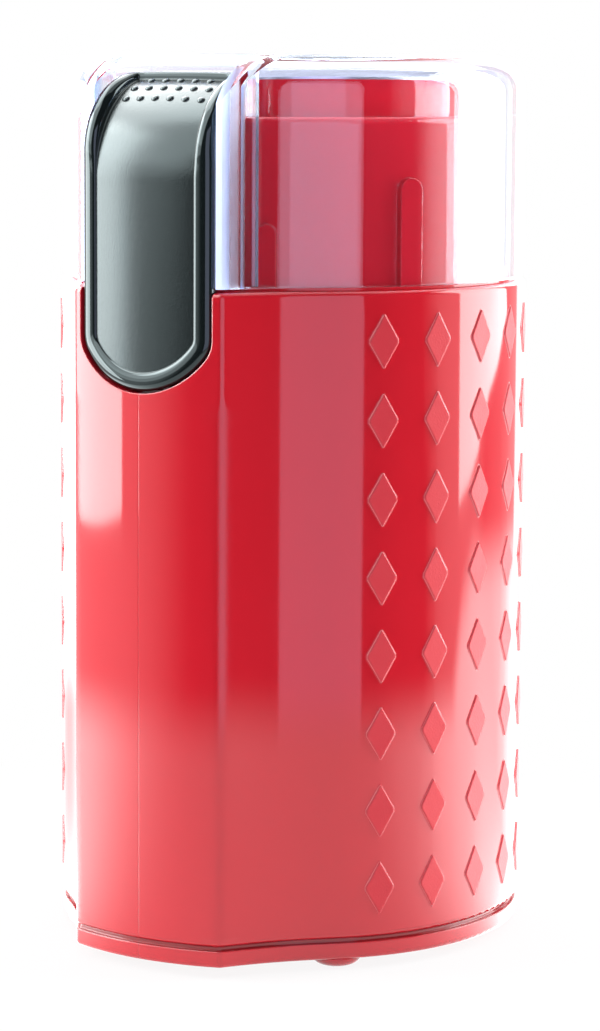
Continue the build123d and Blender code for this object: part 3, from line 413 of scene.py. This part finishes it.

# %% [markdown]
# ## Red housing
# The housing, its base plate and the collar under the lid are one polished red plastic. The diamond studs
# are left sand-blasted by their tool, so they are duller and finely grained. Their sides and edges carry a
# painted highlight: a paler red for the light that the real edges catch from the lamps. They stand out past
# the round of the body, so the distance from the body's axis tells a stud from the polished wall, with no
# extra geometry. A hairline where the mould halves met runs down the middle of the front panel, and painted
# shade darkens the groove between housing and base plate. A moulding has no sharp edge, so Bevel nodes bend
# the normals near edges: a little everywhere, and widely along both edges of the front panel below the
# lever's pocket, where the real corner is rounder than that of the solid.

# %% Masks on the red plastic
body_radius = 0.045
stud_relief = 0.00028
stud_front = 0.0300
stud_feather = 0.0002
stud_top = (0.55, 0.70)
stud_foot = (0.05, 0.20)
seam_half = (0.00004, 0.00013)
seam_front = (-0.047, -0.045)
groove_bottom = 0.0052
groove_top = 0.0060
groove_feather = 0.0001
red = Finish("red_gloss")
red_vector, (red_x, red_y, red_z) = red.place()
round_part = (red_y - axis_y).step(-stud_front - stud_feather, -stud_front + stud_feather)
stud_rise = (flat_reach(red_x, red_y - axis_y) - body_radius) / stud_relief
stud_mask = stud_rise.step(*stud_top) * round_part
# painted highlight: a mask over the studs' sides and edges, which are made paler as if they caught the lamps
stud_edge_highlight = stud_rise.step(*stud_foot) * round_part - stud_mask
seam = (1 - abs(red_x).step(*seam_half)) * (1 - red_y.step(*seam_front))
# painted shade: a band at the height of the groove between housing and base plate, where the red is darkened
groove_shade = red_z.step(groove_bottom - groove_feather, groove_bottom + groove_feather)
groove_shade = groove_shade * (1 - red_z.step(groove_top, groove_top + 2 * groove_feather))
print("stud relief:", stud_relief, "m")

# %% Softened edges
edge_softness = 0.0004
corner_softness = 0.0035
corner_spread = (0.0030, 0.0045)
panel_corner_x = 0.0164
panel_corner_y = axis_y - 0.0500
above_groove = (0.0065, 0.0075)
below_pocket = (0.1050, 0.1095)
edge_samples = 6
corner_samples = 8
soft_edges = red.node("ShaderNodeBevel", {"samples": edge_samples}, {"Radius": edge_softness})
soft_corner = red.node("ShaderNodeBevel", {"samples": corner_samples}, {"Radius": corner_softness})
corner_reach = flat_reach(abs(red_x) - panel_corner_x, red_y - panel_corner_y)
corner_height = red_z.step(*above_groove) * (1 - red_z.step(*below_pocket))
near_corner = (1 - corner_reach.step(*corner_spread)) * corner_height
soft_normal = red.mix(near_corner, soft_edges, soft_corner)
print("edges softened by", edge_softness, "m, panel corners by", corner_softness, "m")

# %% Polished red with grained studs
deep_red = (0.520, 0.0105, 0.0200, 1)
light_red = (0.560, 0.0165, 0.0300, 1)
seam_red = (0.36, 0.006, 0.012, 1)
# painted shade for the groove between housing and base plate
groove_shade_red = (0.20, 0.003, 0.007, 1)
# painted highlight: the paler red of the studs' sides and edges
highlight_red = (0.80, 0.17, 0.18, 1)
polish_roughness = 0.045
cloud_roughness = 0.02
stud_roughness = 0.30
grain_roughness = 0.14
cloud_share = 0.35
stud_share = 0.25
seam_share = 0.45
groove_shade_share = 0.75
edge_highlight_share = 0.5
stud_grain = red.noise(red_vector, scale=2600.0, detail=3.0, roughness=0.6)
cloud = red.noise(red_vector, scale=60.0)
red_colour = red.mix(cloud * cloud_share + stud_mask * stud_share, deep_red, light_red)
red_colour = red.mix(seam * seam_share, red_colour, seam_red)
# painted shade: the groove between housing and base plate turns darker
red_colour = red.mix(groove_shade * groove_shade_share, red_colour, groove_shade_red)
# painted highlight: the studs' sides and edges turn paler
red_colour = red.mix(stud_edge_highlight * edge_highlight_share, red_colour, highlight_red)
red_roughness = polish_roughness + cloud * cloud_roughness
red_roughness = red_roughness + stud_mask * (stud_roughness + stud_grain * grain_roughness)
stud_bump = red.bump(stud_grain * stud_mask, distance=0.00008, strength=0.55, normal=soft_normal)
seam_bump = red.bump(1 - seam, distance=0.00006, strength=0.6, normal=stud_bump)
red_shader = red.shader(Base_Color=red_colour, Roughness=red_roughness, Normal=seam_bump, IOR=1.5)
red_gloss = red.output(red_shader)
dress(red_gloss, "body_shell", "base_plate", "chamber_collar", "bowl_sleeve")

# %% [markdown]
# ## Low studs
# The studs of the real housing stand out by less than a third of a millimetre, lower than those of the
# solid. They could be drawn again one by one, but the solid already has them all in the right places. So a
# copy of the housing's mesh takes the solid's place: every point past the body's round keeps its direction
# from the axis, and what it stands out by shrinks in one ratio. The flat walls between the studs don't move
# at all. The solid comes as loose triangles, so the copy's doubles are then merged. Its normals are kept.

# %% Points of the low studs
solid_relief = 0.0007
solid_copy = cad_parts["body_shell"].data.copy()
housing_points = np.empty((len(solid_copy.vertices), 3), np.float32)
solid_copy.vertices.foreach_get("co", housing_points.ravel())
housing_reach = np.hypot(housing_points[:, 0], housing_points[:, 1] - axis_y)
on_stud = (housing_reach > body_radius) & (housing_points[:, 1] > axis_y - stud_front)
low_reach = body_radius + (housing_reach - body_radius) * stud_relief / solid_relief
low_ratio = np.where(on_stud, low_reach / housing_reach, 1)
housing_points[:, 0] *= low_ratio
housing_points[:, 1] = axis_y + (housing_points[:, 1] - axis_y) * low_ratio
solid_copy.vertices.foreach_set("co", housing_points.ravel())
solid_copy.update()
print("points moved in:", int(on_stud.sum()), "of", len(on_stud))

# %% Housing with merged points
merge_digits = 7
corners = np.empty(len(solid_copy.loops), np.int32)
solid_copy.loops.foreach_get("vertex_index", corners)
corner_normals = np.empty((len(corners), 3), np.float32)
solid_copy.corner_normals.foreach_get("vector", corner_normals.ravel())
merged_points, merged = np.unique(housing_points.round(merge_digits), axis=0, return_inverse=True)
triangles = merged.ravel()[corners].reshape(-1, 3)
housing_mesh = bpy.data.meshes.new("studded_housing")
housing_mesh.from_pydata(merged_points.tolist(), [], triangles.tolist(), shade_flat=False)
housing_mesh.materials.append(red_gloss)
housing_mesh.normals_split_custom_set(corner_normals.tolist())
housing = bpy.data.objects.new("studded_housing", housing_mesh)
scene.collection.objects.link(housing)
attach(housing, "housing")
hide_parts("body_shell")
bpy.data.meshes.remove(solid_copy)
print("studded_housing: points", len(housing_points), "merged to", len(merged_points))

# %% [markdown]
# ## Clear lid
# The lid is a real shell with two walls, so it gets a true refracting plastic rather than a thin see-through
# sheet: the bright edge lines come from light running inside the wall. Two kinds of ray pass as if it were
# plain transparent. Shadow rays do, so that the lamps shine through it onto the bowl, and so do rays that
# have been mirrored twice, which would otherwise be lost in the wall and leave black edges. The faint blue
# of thick plastic is in the colour, deeper on the shoulder. Beside the lever's slot the right wall and the
# edge of the notch over the lever are frosted, and the left wall is only tinted.

# %% Masks on the lid
slot_half = 0.0149
slot_wall = 0.0016
frost_back = axis_y - 0.0434
notch_back = axis_y - 0.0362
notch_half = 0.0003
lid_ceiling = 0.1679
lid_feather = 0.0002
back_feather = 0.0008
middle_feather = 0.001
shoulder_height = (0.1640, 0.1665)
shoulder_reach = (0.0390, 0.0415)
clear = Finish("clear_plastic")
clear_vector, (clear_x, clear_y, clear_z) = clear.place()
slot_inside = slot_half - lid_feather
slot_outside = slot_half + slot_wall + lid_feather
beside_slot = abs(clear_x).step(slot_inside - lid_feather, slot_inside)
beside_slot = beside_slot * (1 - abs(clear_x).step(slot_outside, slot_outside + lid_feather))
beside_slot = beside_slot * (1 - clear_y.step(frost_back - back_feather, frost_back + back_feather))
notch_edge = 1 - abs(clear_y - notch_back).step(notch_half, 2 * notch_half)
notch_edge = notch_edge * clear_z.step(lid_ceiling - 2 * lid_feather, lid_ceiling)
notch_edge = notch_edge * (1 - abs(clear_x).step(slot_half, slot_half + notch_half))
left_edge = beside_slot * (1 - clear_x.step(-middle_feather, middle_feather))
frost = (beside_slot - left_edge).maths("MAXIMUM", notch_edge)
shoulder = flat_reach(clear_x, clear_y - axis_y).step(*shoulder_reach)
shoulder = shoulder * clear_z.step(*shoulder_height)
print("slot in the lid:", 2 * slot_half, "m wide")

# %% Clear plastic
clear_tint = (0.920, 0.950, 1.0, 1)
shoulder_tint = (0.83, 0.85, 1.0, 1)
left_tint = (0.50, 0.62, 0.95, 1)
frost_tint = (0.33, 0.45, 0.82, 1)
through_tint = (0.90, 0.94, 1.0, 1)
haze_roughness = 0.02
frost_roughness = 0.55
clear_haze = clear.noise(clear_vector, scale=300.0)
clear_colour = clear.mix(shoulder, clear_tint, shoulder_tint)
clear_colour = clear.mix(left_edge, clear_colour, left_tint)
clear_colour = clear.mix(frost, clear_colour, frost_tint)
clear_roughness = clear_haze * haze_roughness + frost * frost_roughness
clear_shader = clear.shader(Base_Color=clear_colour, Roughness=clear_roughness, IOR=1.5,
                            Transmission_Weight=1.0)
clear_through = clear.node("ShaderNodeBsdfTransparent", inputs={"Color": through_tint})
_, _, clear_trapped, _ = ray_kinds(clear)
shadow_ray = clear.node("ShaderNodeLightPath", output="Is Shadow Ray")
clear_share = shadow_ray.maths("MAXIMUM", clear_trapped)
clear_mix = clear.node("ShaderNodeMixShader", inputs={0: clear_share, 1: clear_shader, 2: clear_through})
dress(clear.output(clear_mix), "lid")

# %% [markdown]
# ## Press lever
# The lever is a long black tongue: it lies in the front panel, runs up the lid and bends over the top. A
# glossy bead runs all round a dished, finely grained field, and three rows of grip dots sit on the bend. It
# could be modelled by hand with a subdivided cage, but a formula keeps the bead even all the way round. One
# closed surface does it all: rings of the tongue's outline, drawn in step by step from the back, round the
# side, over the bead and down into the field. Each ring lives in flat coordinates, across and along, and one
# map bends that flat sheet up the panel and over the top.

# %% Sizes of the tongue
lever_half = 0.0142
lever_bottom = 0.1088
lever_arc = 0.0162
lever_corner = 0.006
lever_end_corner = 0.004
lever_bend_height = 0.1511
lever_bend_radius = 0.0157
lever_thickness = 0.003
lever_taper = 0.0005
lever_crown = 0.1
front_reach = 0.0529
panel_arc = 0.0478
end_inset_share = 0.32
field_depth = 0.0008
field_bend_height = 0.1475
field_bend_radius = 0.0185
lever_end = lever_bend_height + lever_bend_radius * pi / 2
field_last_turn = np.arccos((field_depth + field_bend_radius - lever_bend_radius) / field_bend_radius)
lever_corner_x = lever_half - lever_corner
lever_arc_centre = lever_bottom + lever_arc
lever_corner_z = lever_arc_centre - sqrt((lever_arc - lever_corner) ** 2 - lever_corner_x**2)
corner_turn = np.arctan2(lever_corner_x, lever_arc_centre - lever_corner_z)
print("tongue:", round(lever_end - lever_bottom, 4), "m long,", 2 * lever_half, "m wide")

# %% Flat outline of the tongue
arc_points = 36
corner_points = 14
side_points = 90
cap_points = 12
end_points = 10


def outline(inset):
    """Flat rings, one for each inset: bottom arc, corner arc, side, end corner and end, then mirrored back.

    An arc drawn in by an inset keeps its centre and loses that much radius; a side moves in by it, and the
    far end, where the bead is thin, by a share of it.
    """
    inset = np.asarray(inset, float)[:, None]
    arc = np.linspace(0, corner_turn, arc_points)[None, :-1]
    bend = np.linspace(corner_turn, pi / 2, corner_points)[None, :-1]
    side = np.linspace(0, 1, side_points)[None, :-1]
    cap = np.linspace(pi / 2, pi, cap_points)[None, :]
    end = np.linspace(0, 1, end_points)[None, 1:]
    end_x = lever_half - lever_end_corner
    end_z = lever_end - lever_end_corner
    across = np.concatenate([
        (lever_arc - inset) * np.sin(arc),
        lever_corner_x + (lever_corner - inset) * np.sin(bend),
        lever_half - inset + 0 * side,
        end_x + (lever_end_corner - inset) * np.sin(cap),
        end_x * (1 - end) + 0 * inset], 1)
    along = np.concatenate([
        lever_arc_centre - (lever_arc - inset) * np.cos(arc),
        lever_corner_z - (lever_corner - inset) * np.cos(bend),
        lever_corner_z + (end_z - lever_corner_z) * side + 0 * inset,
        end_z - (lever_end_corner - end_inset_share * inset) * np.cos(cap),
        lever_end - end_inset_share * inset + 0 * end], 1)
    across = np.concatenate([across, -across[:, -2:0:-1]], 1)
    along = np.concatenate([along, along[:, -2:0:-1]], 1)
    return across, along


print("outline points:", outline([0.0])[0].shape[1])

# %% Map from the flat sheet to the bent lever


def bend_over(across, along, lift, sink=0.0):
    """Map flat points to the lever: up the bowed panel, then round the bend, with lift outwards.

    The turn grows with the length past the bend's start, while the tongue narrows and loses most of its bow.
    The finger rest is dished, so a sunk sheet has a wider bend that starts lower and ends at the same depth.
    Sink is 0 on the bead's sheet, 1 on the field's, and blends the two on the slope between them.
    """
    turn = np.clip((along - lever_bend_height) / lever_bend_radius, 0, pi / 2)
    share = turn / (pi / 2)
    x = across * (1 - lever_taper / lever_half * share)
    bow = (panel_arc - np.sqrt(panel_arc**2 - x**2)) * (1 - (1 - lever_crown) * share)
    reach = lever_bend_radius - bow + lift
    y = lever_bend_radius - reach * np.cos(turn)
    z = np.minimum(along, lever_bend_height) + reach * np.sin(turn)
    field_share = np.clip((along - field_bend_height) / (lever_end - field_bend_height), 0, 1)
    field_turn = field_last_turn * field_share
    field_reach = field_bend_radius - bow + lift
    field_y = field_depth + field_bend_radius - field_reach * np.cos(field_turn)
    field_z = np.minimum(along, field_bend_height) + field_reach * np.sin(field_turn)
    y = axis_y - front_reach + y + sink * (field_y - y)
    return np.stack([x, y, z + sink * (field_z - z)], -1)


print("tip of the lever:", bend_over(np.zeros(1), np.array([lever_end]), 0.0)[0].round(4).tolist())

# %% Mesh helpers
merge_distance = 1e-6


def grid_mesh(name, points, matt, close_rows=False):
    """A mesh from a grid of points (rows, columns, 3) that closes round its columns.

    Its rows close too where asked. matt is one number or one a row.
    """
    rows, columns = points.shape[:2]
    index = np.arange(rows * columns).reshape(rows, columns)
    index = np.concatenate([index, index[:, :1]], 1)
    if close_rows:
        index = np.concatenate([index, index[:1]], 0)
    quads = np.stack([index[:-1, :-1], index[:-1, 1:], index[1:, 1:], index[1:, :-1]], -1)
    matt = np.broadcast_to(np.reshape(matt, (-1, 1)), (rows, columns))
    return mesh_object(name, points.reshape(-1, 3), quads.reshape(-1, 4), matt.ravel())


def patch_mesh(name, points, matt=0.0):
    """One mesh from several round patches (patch, rows, columns, 3), each wrapped round its columns."""
    index = np.arange(points[..., 0].size).reshape(points.shape[:3])
    index = np.concatenate([index, index[:, :, :1]], 2)
    quads = np.stack([index[:, :-1, :-1], index[:, :-1, 1:], index[:, 1:, 1:], index[:, 1:, :-1]], -1)
    matt = np.full(points[..., 0].size, matt)
    return mesh_object(name, points.reshape(-1, 3), quads.reshape(-1, 4), matt)


def mesh_object(name, vertices, quads, matt):
    """A smooth mesh at the origin, doubles merged and faces outwards. matt is stored for its finish."""
    mesh = bpy.data.meshes.new(name)
    mesh.from_pydata(vertices.tolist(), [], quads.tolist())
    attribute = mesh.attributes.new("matt", "FLOAT", "POINT")
    attribute.data.foreach_set("value", np.ascontiguousarray(matt, np.float32))
    work = bmesh.new()
    work.from_mesh(mesh)
    bmesh.ops.remove_doubles(work, verts=work.verts, dist=merge_distance)
    bmesh.ops.recalc_face_normals(work, faces=work.faces)
    work.to_mesh(mesh)
    work.free()
    mesh.polygons.foreach_set("use_smooth", np.ones(len(mesh.polygons), bool))
    made = bpy.data.objects.new(name, mesh)
    scene.collection.objects.link(made)
    print(name, "faces:", len(mesh.polygons))
    return made


# %% Rings of the back and the bead
bead_width = 0.0034
bead_crest = 0.0015
bead_edge_drop = 0.0011
back_inset = 0.0006
bead_rings = 9
back_rings = 9
field_wall = lever_thickness - field_depth
spine_end_gap = 0.009
spine_low = lever_arc_centre
spine_high = lever_end - spine_end_gap


def drawn_to_spine(inset, shares):
    """Rings that run from one inset ring to the line down the tongue's middle."""
    across, along = outline([inset])
    shares = np.asarray(shares)[:, None]
    spine = np.clip(along, spine_low, spine_high)
    return across * (1 - shares), along + (spine - along) * shares


rim_out = np.linspace(0, 1, bead_rings)
rim_in = rim_out[1:]
bead_inset = np.concatenate([bead_crest * (1 - np.cos(rim_out * pi / 2)),
                             bead_crest + (bead_width - bead_crest) * np.sin(rim_in * pi / 2)])
bead_lift = np.concatenate([-bead_edge_drop * (1 - np.sin(rim_out * pi / 2)), 0 * rim_in])
bead_sink = np.concatenate([0 * rim_out, 1 - np.cos(rim_in * pi / 2)])
bead_across, bead_along = outline(bead_inset)
back_across, back_along = drawn_to_spine(back_inset, np.linspace(1, 0, back_rings))
print("rings over the bead:", len(bead_inset))

# %% Tongue with its bead and field
back_draft = 0.0001
back_chamfer = 0.0005
bead_foot = 0.0004
side_inset = np.array([back_draft, 0.0])
side_lift = np.array([-field_wall + back_chamfer, -bead_edge_drop - bead_foot])
side_sink = np.array([1.0, 0.0])
back_matt = 0.6
field_first_share = 0.01
field_rings = 13
field_shares = np.concatenate([[field_first_share], np.linspace(0, 1, field_rings)[1:]])
side_across, side_along = outline(side_inset)
field_across, field_along = drawn_to_spine(bead_width, field_shares)
on_back = np.ones(len(back_across))
on_field = np.ones(len(field_across))
ring_across = np.concatenate([back_across, side_across, bead_across, field_across])
ring_along = np.concatenate([back_along, side_along, bead_along, field_along])
ring_lift = np.concatenate([-field_wall * on_back, side_lift, bead_lift, 0 * on_field])
ring_matt = np.concatenate([back_matt * on_back, 0 * side_lift, 0 * bead_lift, on_field])
ring_sink = np.concatenate([on_back, side_sink, bead_sink, on_field])
tongue_points = bend_over(ring_across, ring_along, ring_lift[:, None], ring_sink[:, None])
tongue = grid_mesh("lever_tongue", tongue_points, ring_matt)

# %% Grip dots
dot_radius = 0.00085
dot_height = 0.00055
dot_root = 0.0001
dot_pitch = 0.0034
dot_row_pitch = 0.0037
dot_end_gap = 0.0023
dot_last_row = lever_end - dot_end_gap
dot_matt = 0.35
dot_counts = (6, 6, 5)
dot_across = np.concatenate([(np.arange(n) - (n - 1) / 2) * dot_pitch for n in dot_counts])
dot_row = np.repeat(np.arange(len(dot_counts)), dot_counts)
dot_along = dot_last_row - (len(dot_counts) - 1 - dot_row) * dot_row_pitch


def domes(across, along, rings=7, sides=16):
    """Shallow domes: radius times the cosine and height times the sine of a rise up to a quarter turn."""
    rise = np.linspace(0, pi / 2, rings)[None, :, None]
    turn = np.linspace(0, 2 * pi, sides, endpoint=False)[None, None, :]
    dome_across = across[:, None, None] + dot_radius * np.cos(rise) * np.cos(turn)
    dome_along = along[:, None, None] + dot_radius * np.cos(rise) * np.sin(turn)
    lift = dot_height * np.sin(rise) - dot_root + 0 * dome_across
    return bend_over(dome_across, dome_along, lift, 1.0)


dots = patch_mesh("lever_grip_dots", domes(dot_across, dot_along), dot_matt)

# %% Barrel and switch nub behind the tongue
pivot = np.array([0, axis_y - 0.0484, 0.1118])
nub_start = np.array([0, axis_y - front_reach + 0.0015, 0.1218])
barrel_half = 0.005
barrel_radius = 0.0024
barrel_bore = 0.00135
nub_length = 0.0045
nub_radius = 0.0018
chamfer = 0.0003
hidden_matt = 0.5


def turned(profile, start, axis, sides=40):
    """A profile of (distance along, radius) pairs carried round a line from start along axis."""
    profile = np.asarray(profile, float)
    axis = np.asarray(axis, float)
    side = np.cross(axis, [0, 0, 1.0])
    upright = np.cross(side, axis)
    turn = np.linspace(0, 2 * pi, sides, endpoint=False)
    ring = np.cos(turn)[:, None] * side + np.sin(turn)[:, None] * upright
    return start + profile[:, :1, None] * axis + profile[:, 1:, None] * ring[None]


barrel_end = [(barrel_half, barrel_bore), (barrel_half, barrel_radius - chamfer),
              (barrel_half - chamfer, barrel_radius)]
barrel_profile = [(-place, radius) for place, radius in barrel_end] + barrel_end[::-1]
barrel = grid_mesh("lever_barrel", turned(barrel_profile, pivot, (1, 0, 0)), hidden_matt, close_rows=True)
nub_profile = [(0, 0.0), (0, nub_radius), (nub_length - chamfer, nub_radius),
               (nub_length, nub_radius - chamfer), (nub_length, 0.0)]
nub = grid_mesh("lever_nub", turned(nub_profile, nub_start, (0, 1, 0)), hidden_matt)

# %% Glossy bead and grained field
bead_black = (0.0050, 0.0078, 0.0078, 1)
speck_black = (0.014, 0.018, 0.018, 1)
cool_tint = (0.80, 0.98, 1.0, 1)
bead_roughness = 0.06
field_roughness = 0.10
field_grain_roughness = 0.10
speck_share = 0.6
black = Finish("black_plastic")
black_vector, _ = black.place()
black_grain = black.noise(black_vector, scale=3000.0, detail=3.0, roughness=0.6)
black_speck = black.noise(black_vector, scale=900.0)
field_mask = black.node("ShaderNodeAttribute", {"attribute_name": "matt"}, output="Fac")
black_colour = black.mix(black_speck * field_mask * speck_share, bead_black, speck_black)
black_roughness = bead_roughness + field_mask * (field_roughness + black_grain * field_grain_roughness)
black_bump = black.bump(black_grain * field_mask, distance=0.00006, strength=0.45)
black_shader = black.shader(Base_Color=black_colour, Roughness=black_roughness, Normal=black_bump, IOR=1.5,
                            Specular_Tint=cool_tint)
black_plastic = black.output(black_shader)
for made in (tongue, dots, barrel, nub):
    made.data.materials.append(black_plastic)
    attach(made, "lever")
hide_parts("press_lever")
print(black_plastic.name, "on the lever's four pieces")

# %% [markdown]
# ## Feet
# The moulded feet bulge more than plain cones do. A bevel on the cones would leave them straight between its
# ends, so a quarter of an ellipse, turned about each foot's own middle, wraps the cone in that soft shape;
# its flat ends are hidden in the base plate and in the cone.

# %% Foot caps
foot_height = 0.002
foot_reach = 0.0398
foot_sole = 0.0023
foot_bulge = 0.0025
foot_lift = 0.0001
foot_count = 4
foot_rings = 12
foot_sides = 48
foot_rise = np.linspace(0, pi / 2, foot_rings)
foot_profile = np.concatenate([[0], foot_sole + foot_bulge * np.cos(foot_rise), [0]])[None, :, None]
foot_level = foot_height * (1 - np.sin(foot_rise)) + foot_lift
foot_z = np.concatenate([foot_level[:1], foot_level, foot_level[-1:]])[None, :, None]
foot_round = np.linspace(0, 2 * pi, foot_sides, endpoint=False)[None, None, :]
foot_corner = (2 * pi * (np.arange(foot_count) + 0.5) / foot_count)[:, None, None]
foot_x = foot_reach * np.cos(foot_corner) + foot_profile * np.cos(foot_round)
foot_y = axis_y + foot_reach * np.sin(foot_corner) + foot_profile * np.sin(foot_round)
feet = patch_mesh("foot_caps", np.stack([foot_x, foot_y, foot_z + 0 * foot_x], -1))
feet.data.materials.append(red_gloss)
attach(feet, "housing")

# %% [markdown]
# ## Metals
# The bowl is spun from stainless sheet, so its fine lines run round the axis; the blade, shaft and pins are
# ground along their length; bronze bushes, alloy brackets and steel sheets each have their own grain. A
# photo of each metal could be laid on, but noise needs no unwrapping and never repeats. Noise that is
# stretched along the lines changes the roughness and bumps the surface.

# %% Metal helpers
metal_line_roughness = 0.12
metal_bump = 0.5
fine_depth = 0.00001


def lined_metal(made, lines, stain, dark, light, roughness, line_share, stain_roughness, depth=fine_depth):
    """Close a metal: lines and stain share the colour and the roughness, and the lines bump the surface."""
    colour = made.mix(lines * line_share + stain * (1 - line_share), (*dark, 1), (*light, 1))
    roughness = roughness + lines * metal_line_roughness + stain * stain_roughness
    bump = made.bump(lines, depth, metal_bump)
    return made.output(made.shader(Base_Color=colour, Metallic=1.0, Roughness=roughness, Normal=bump))


def metal(name, dark, light, roughness, stretch, depth=fine_depth):
    """A metal whose noise is scaled by stretch along each axis, as fine lines or as an even grain."""
    made = Finish(name)
    vector, _ = made.place()
    stretched = made.node("ShaderNodeMapping", inputs={"Vector": vector, "Scale": stretch})
    lines = made.noise(stretched, scale=1.0, detail=4.0, roughness=0.6)
    stain = made.noise(vector, scale=120.0)
    return lined_metal(made, lines, stain, dark, light, roughness, line_share=0.7, stain_roughness=0.04,
                       depth=depth)


def spun_metal(name, dark, light, roughness):
    """Sheet turned about the upright axis: the noise sees only height and distance from the axis."""
    made = Finish(name)
    vector, (x, y, z) = made.place()
    rings = made.node("ShaderNodeCombineXYZ", inputs={0: flat_reach(x, y - axis_y), 1: 0.0, 2: z})
    lines = made.noise(rings, scale=2400.0, detail=4.0, roughness=0.65)
    stain = made.noise(vector, scale=90.0)
    return lined_metal(made, lines, stain, dark, light, roughness, line_share=0.6, stain_roughness=0.05)


print("depth of the finest lines:", fine_depth, "m")

# %% Bowl, blade, shaft and small steel
bowl_steel = spun_metal("bowl_steel", dark=(0.52, 0.52, 0.53), light=(0.70, 0.70, 0.71), roughness=0.20)
blade_steel = metal("blade_steel", dark=(0.48, 0.48, 0.50), light=(0.68, 0.68, 0.70), roughness=0.22,
                    stretch=(300, 3500, 900))
shaft_steel = metal("shaft_steel", dark=(0.45, 0.45, 0.47), light=(0.62, 0.62, 0.64), roughness=0.20,
                    stretch=(900, 900, 4000))
screw_steel = metal("screw_steel", dark=(0.55, 0.55, 0.52), light=(0.72, 0.72, 0.68), roughness=0.24,
                    stretch=(1500, 1500, 1500))
spring_steel = metal("spring_steel", dark=(0.45, 0.45, 0.47), light=(0.60, 0.60, 0.62), roughness=0.22,
                     stretch=(2500, 2500, 2500))
dress(bowl_steel, "grinding_bowl")
dress(blade_steel, "blade", "blade_nut")
dress(shaft_steel, "motor_shaft", "lever_pin")
dress(screw_steel, "base_screws", "collar_screws", "switch_screws", "motor_screws", "damper_screws")
dress(spring_steel, "lever_springs", "brush_springs")

# %% Metals of the motor
lamination_steel = metal("lamination_steel", dark=(0.17, 0.18, 0.20), light=(0.34, 0.35, 0.37),
                         roughness=0.38, stretch=(60, 60, 6000), depth=0.00004)
copper_wire = metal("copper_wire", dark=(0.50, 0.22, 0.10), light=(0.78, 0.40, 0.22), roughness=0.28,
                    stretch=(2600, 2600, 2600), depth=0.00005)
bracket_alloy = metal("bracket_alloy", dark=(0.50, 0.51, 0.53), light=(0.68, 0.69, 0.71), roughness=0.42,
                      stretch=(800, 800, 800), depth=0.00004)
bearing_bronze = metal("bearing_bronze", dark=(0.42, 0.28, 0.13), light=(0.62, 0.44, 0.23), roughness=0.36,
                       stretch=(1800, 1800, 1800))
dress(lamination_steel, "stator_core", "rotor_core")
dress(copper_wire, "field_coils", "rotor_winding", "commutator")
dress(bracket_alloy, "upper_bracket", "lower_bracket")
dress(bearing_bronze, "upper_bearing", "lower_bearing")

# %% [markdown]
# ## Rubber, carbon and inner plastics
# The unseen pieces are still finished: rubber is dull with a fine bloom, carbon is a pressed grain, and the
# switch, fan, holders and capacitor are plain moulded plastic with a spark-eroded surface. They differ only
# in colour, roughness and grain, so one function makes all three.

# %% Dull finishes
bloom_scale = 150.0
bloom_share = 0.6
bloom_roughness = 0.10
grain_bump = 0.5


def dull(name, dark, light, roughness, scale, depth):
    """A non-metal with an even grain that shifts its colour and bumps it, and a bloom that dulls it."""
    made = Finish(name)
    vector, _ = made.place()
    grain = made.noise(vector, scale, detail=3.0, roughness=0.6)
    bloom = made.noise(vector, bloom_scale)
    colour = made.mix(bloom * bloom_share + grain * (1 - bloom_share), (*dark, 1), (*light, 1))
    bump = made.bump(grain, depth, grain_bump)
    roughness = roughness + bloom * bloom_roughness
    return made.output(made.shader(Base_Color=colour, Roughness=roughness, Normal=bump, IOR=1.5))


black_rubber = dull("black_rubber", dark=(0.018, 0.018, 0.020), light=(0.045, 0.045, 0.048), roughness=0.62,
                    scale=1400.0, depth=0.00005)
brush_carbon = dull("brush_carbon", dark=(0.020, 0.020, 0.022), light=(0.060, 0.060, 0.064), roughness=0.55,
                    scale=2500.0, depth=0.00004)
inner_plastic = dull("inner_plastic", dark=(0.10, 0.10, 0.11), light=(0.16, 0.16, 0.17), roughness=0.45,
                     scale=1800.0, depth=0.00004)
dress(black_rubber, "bowl_seal", "cord_gland", "motor_dampers")
dress(brush_carbon, "carbon_brushes")
dress(inner_plastic, "micro_switch", "brush_holders", "cooling_fan", "blade_spacer",
      "suppression_capacitor", "switch_plunger")

# %% [markdown]
# ## Size
# The dressed model has to stay in the solids' box.
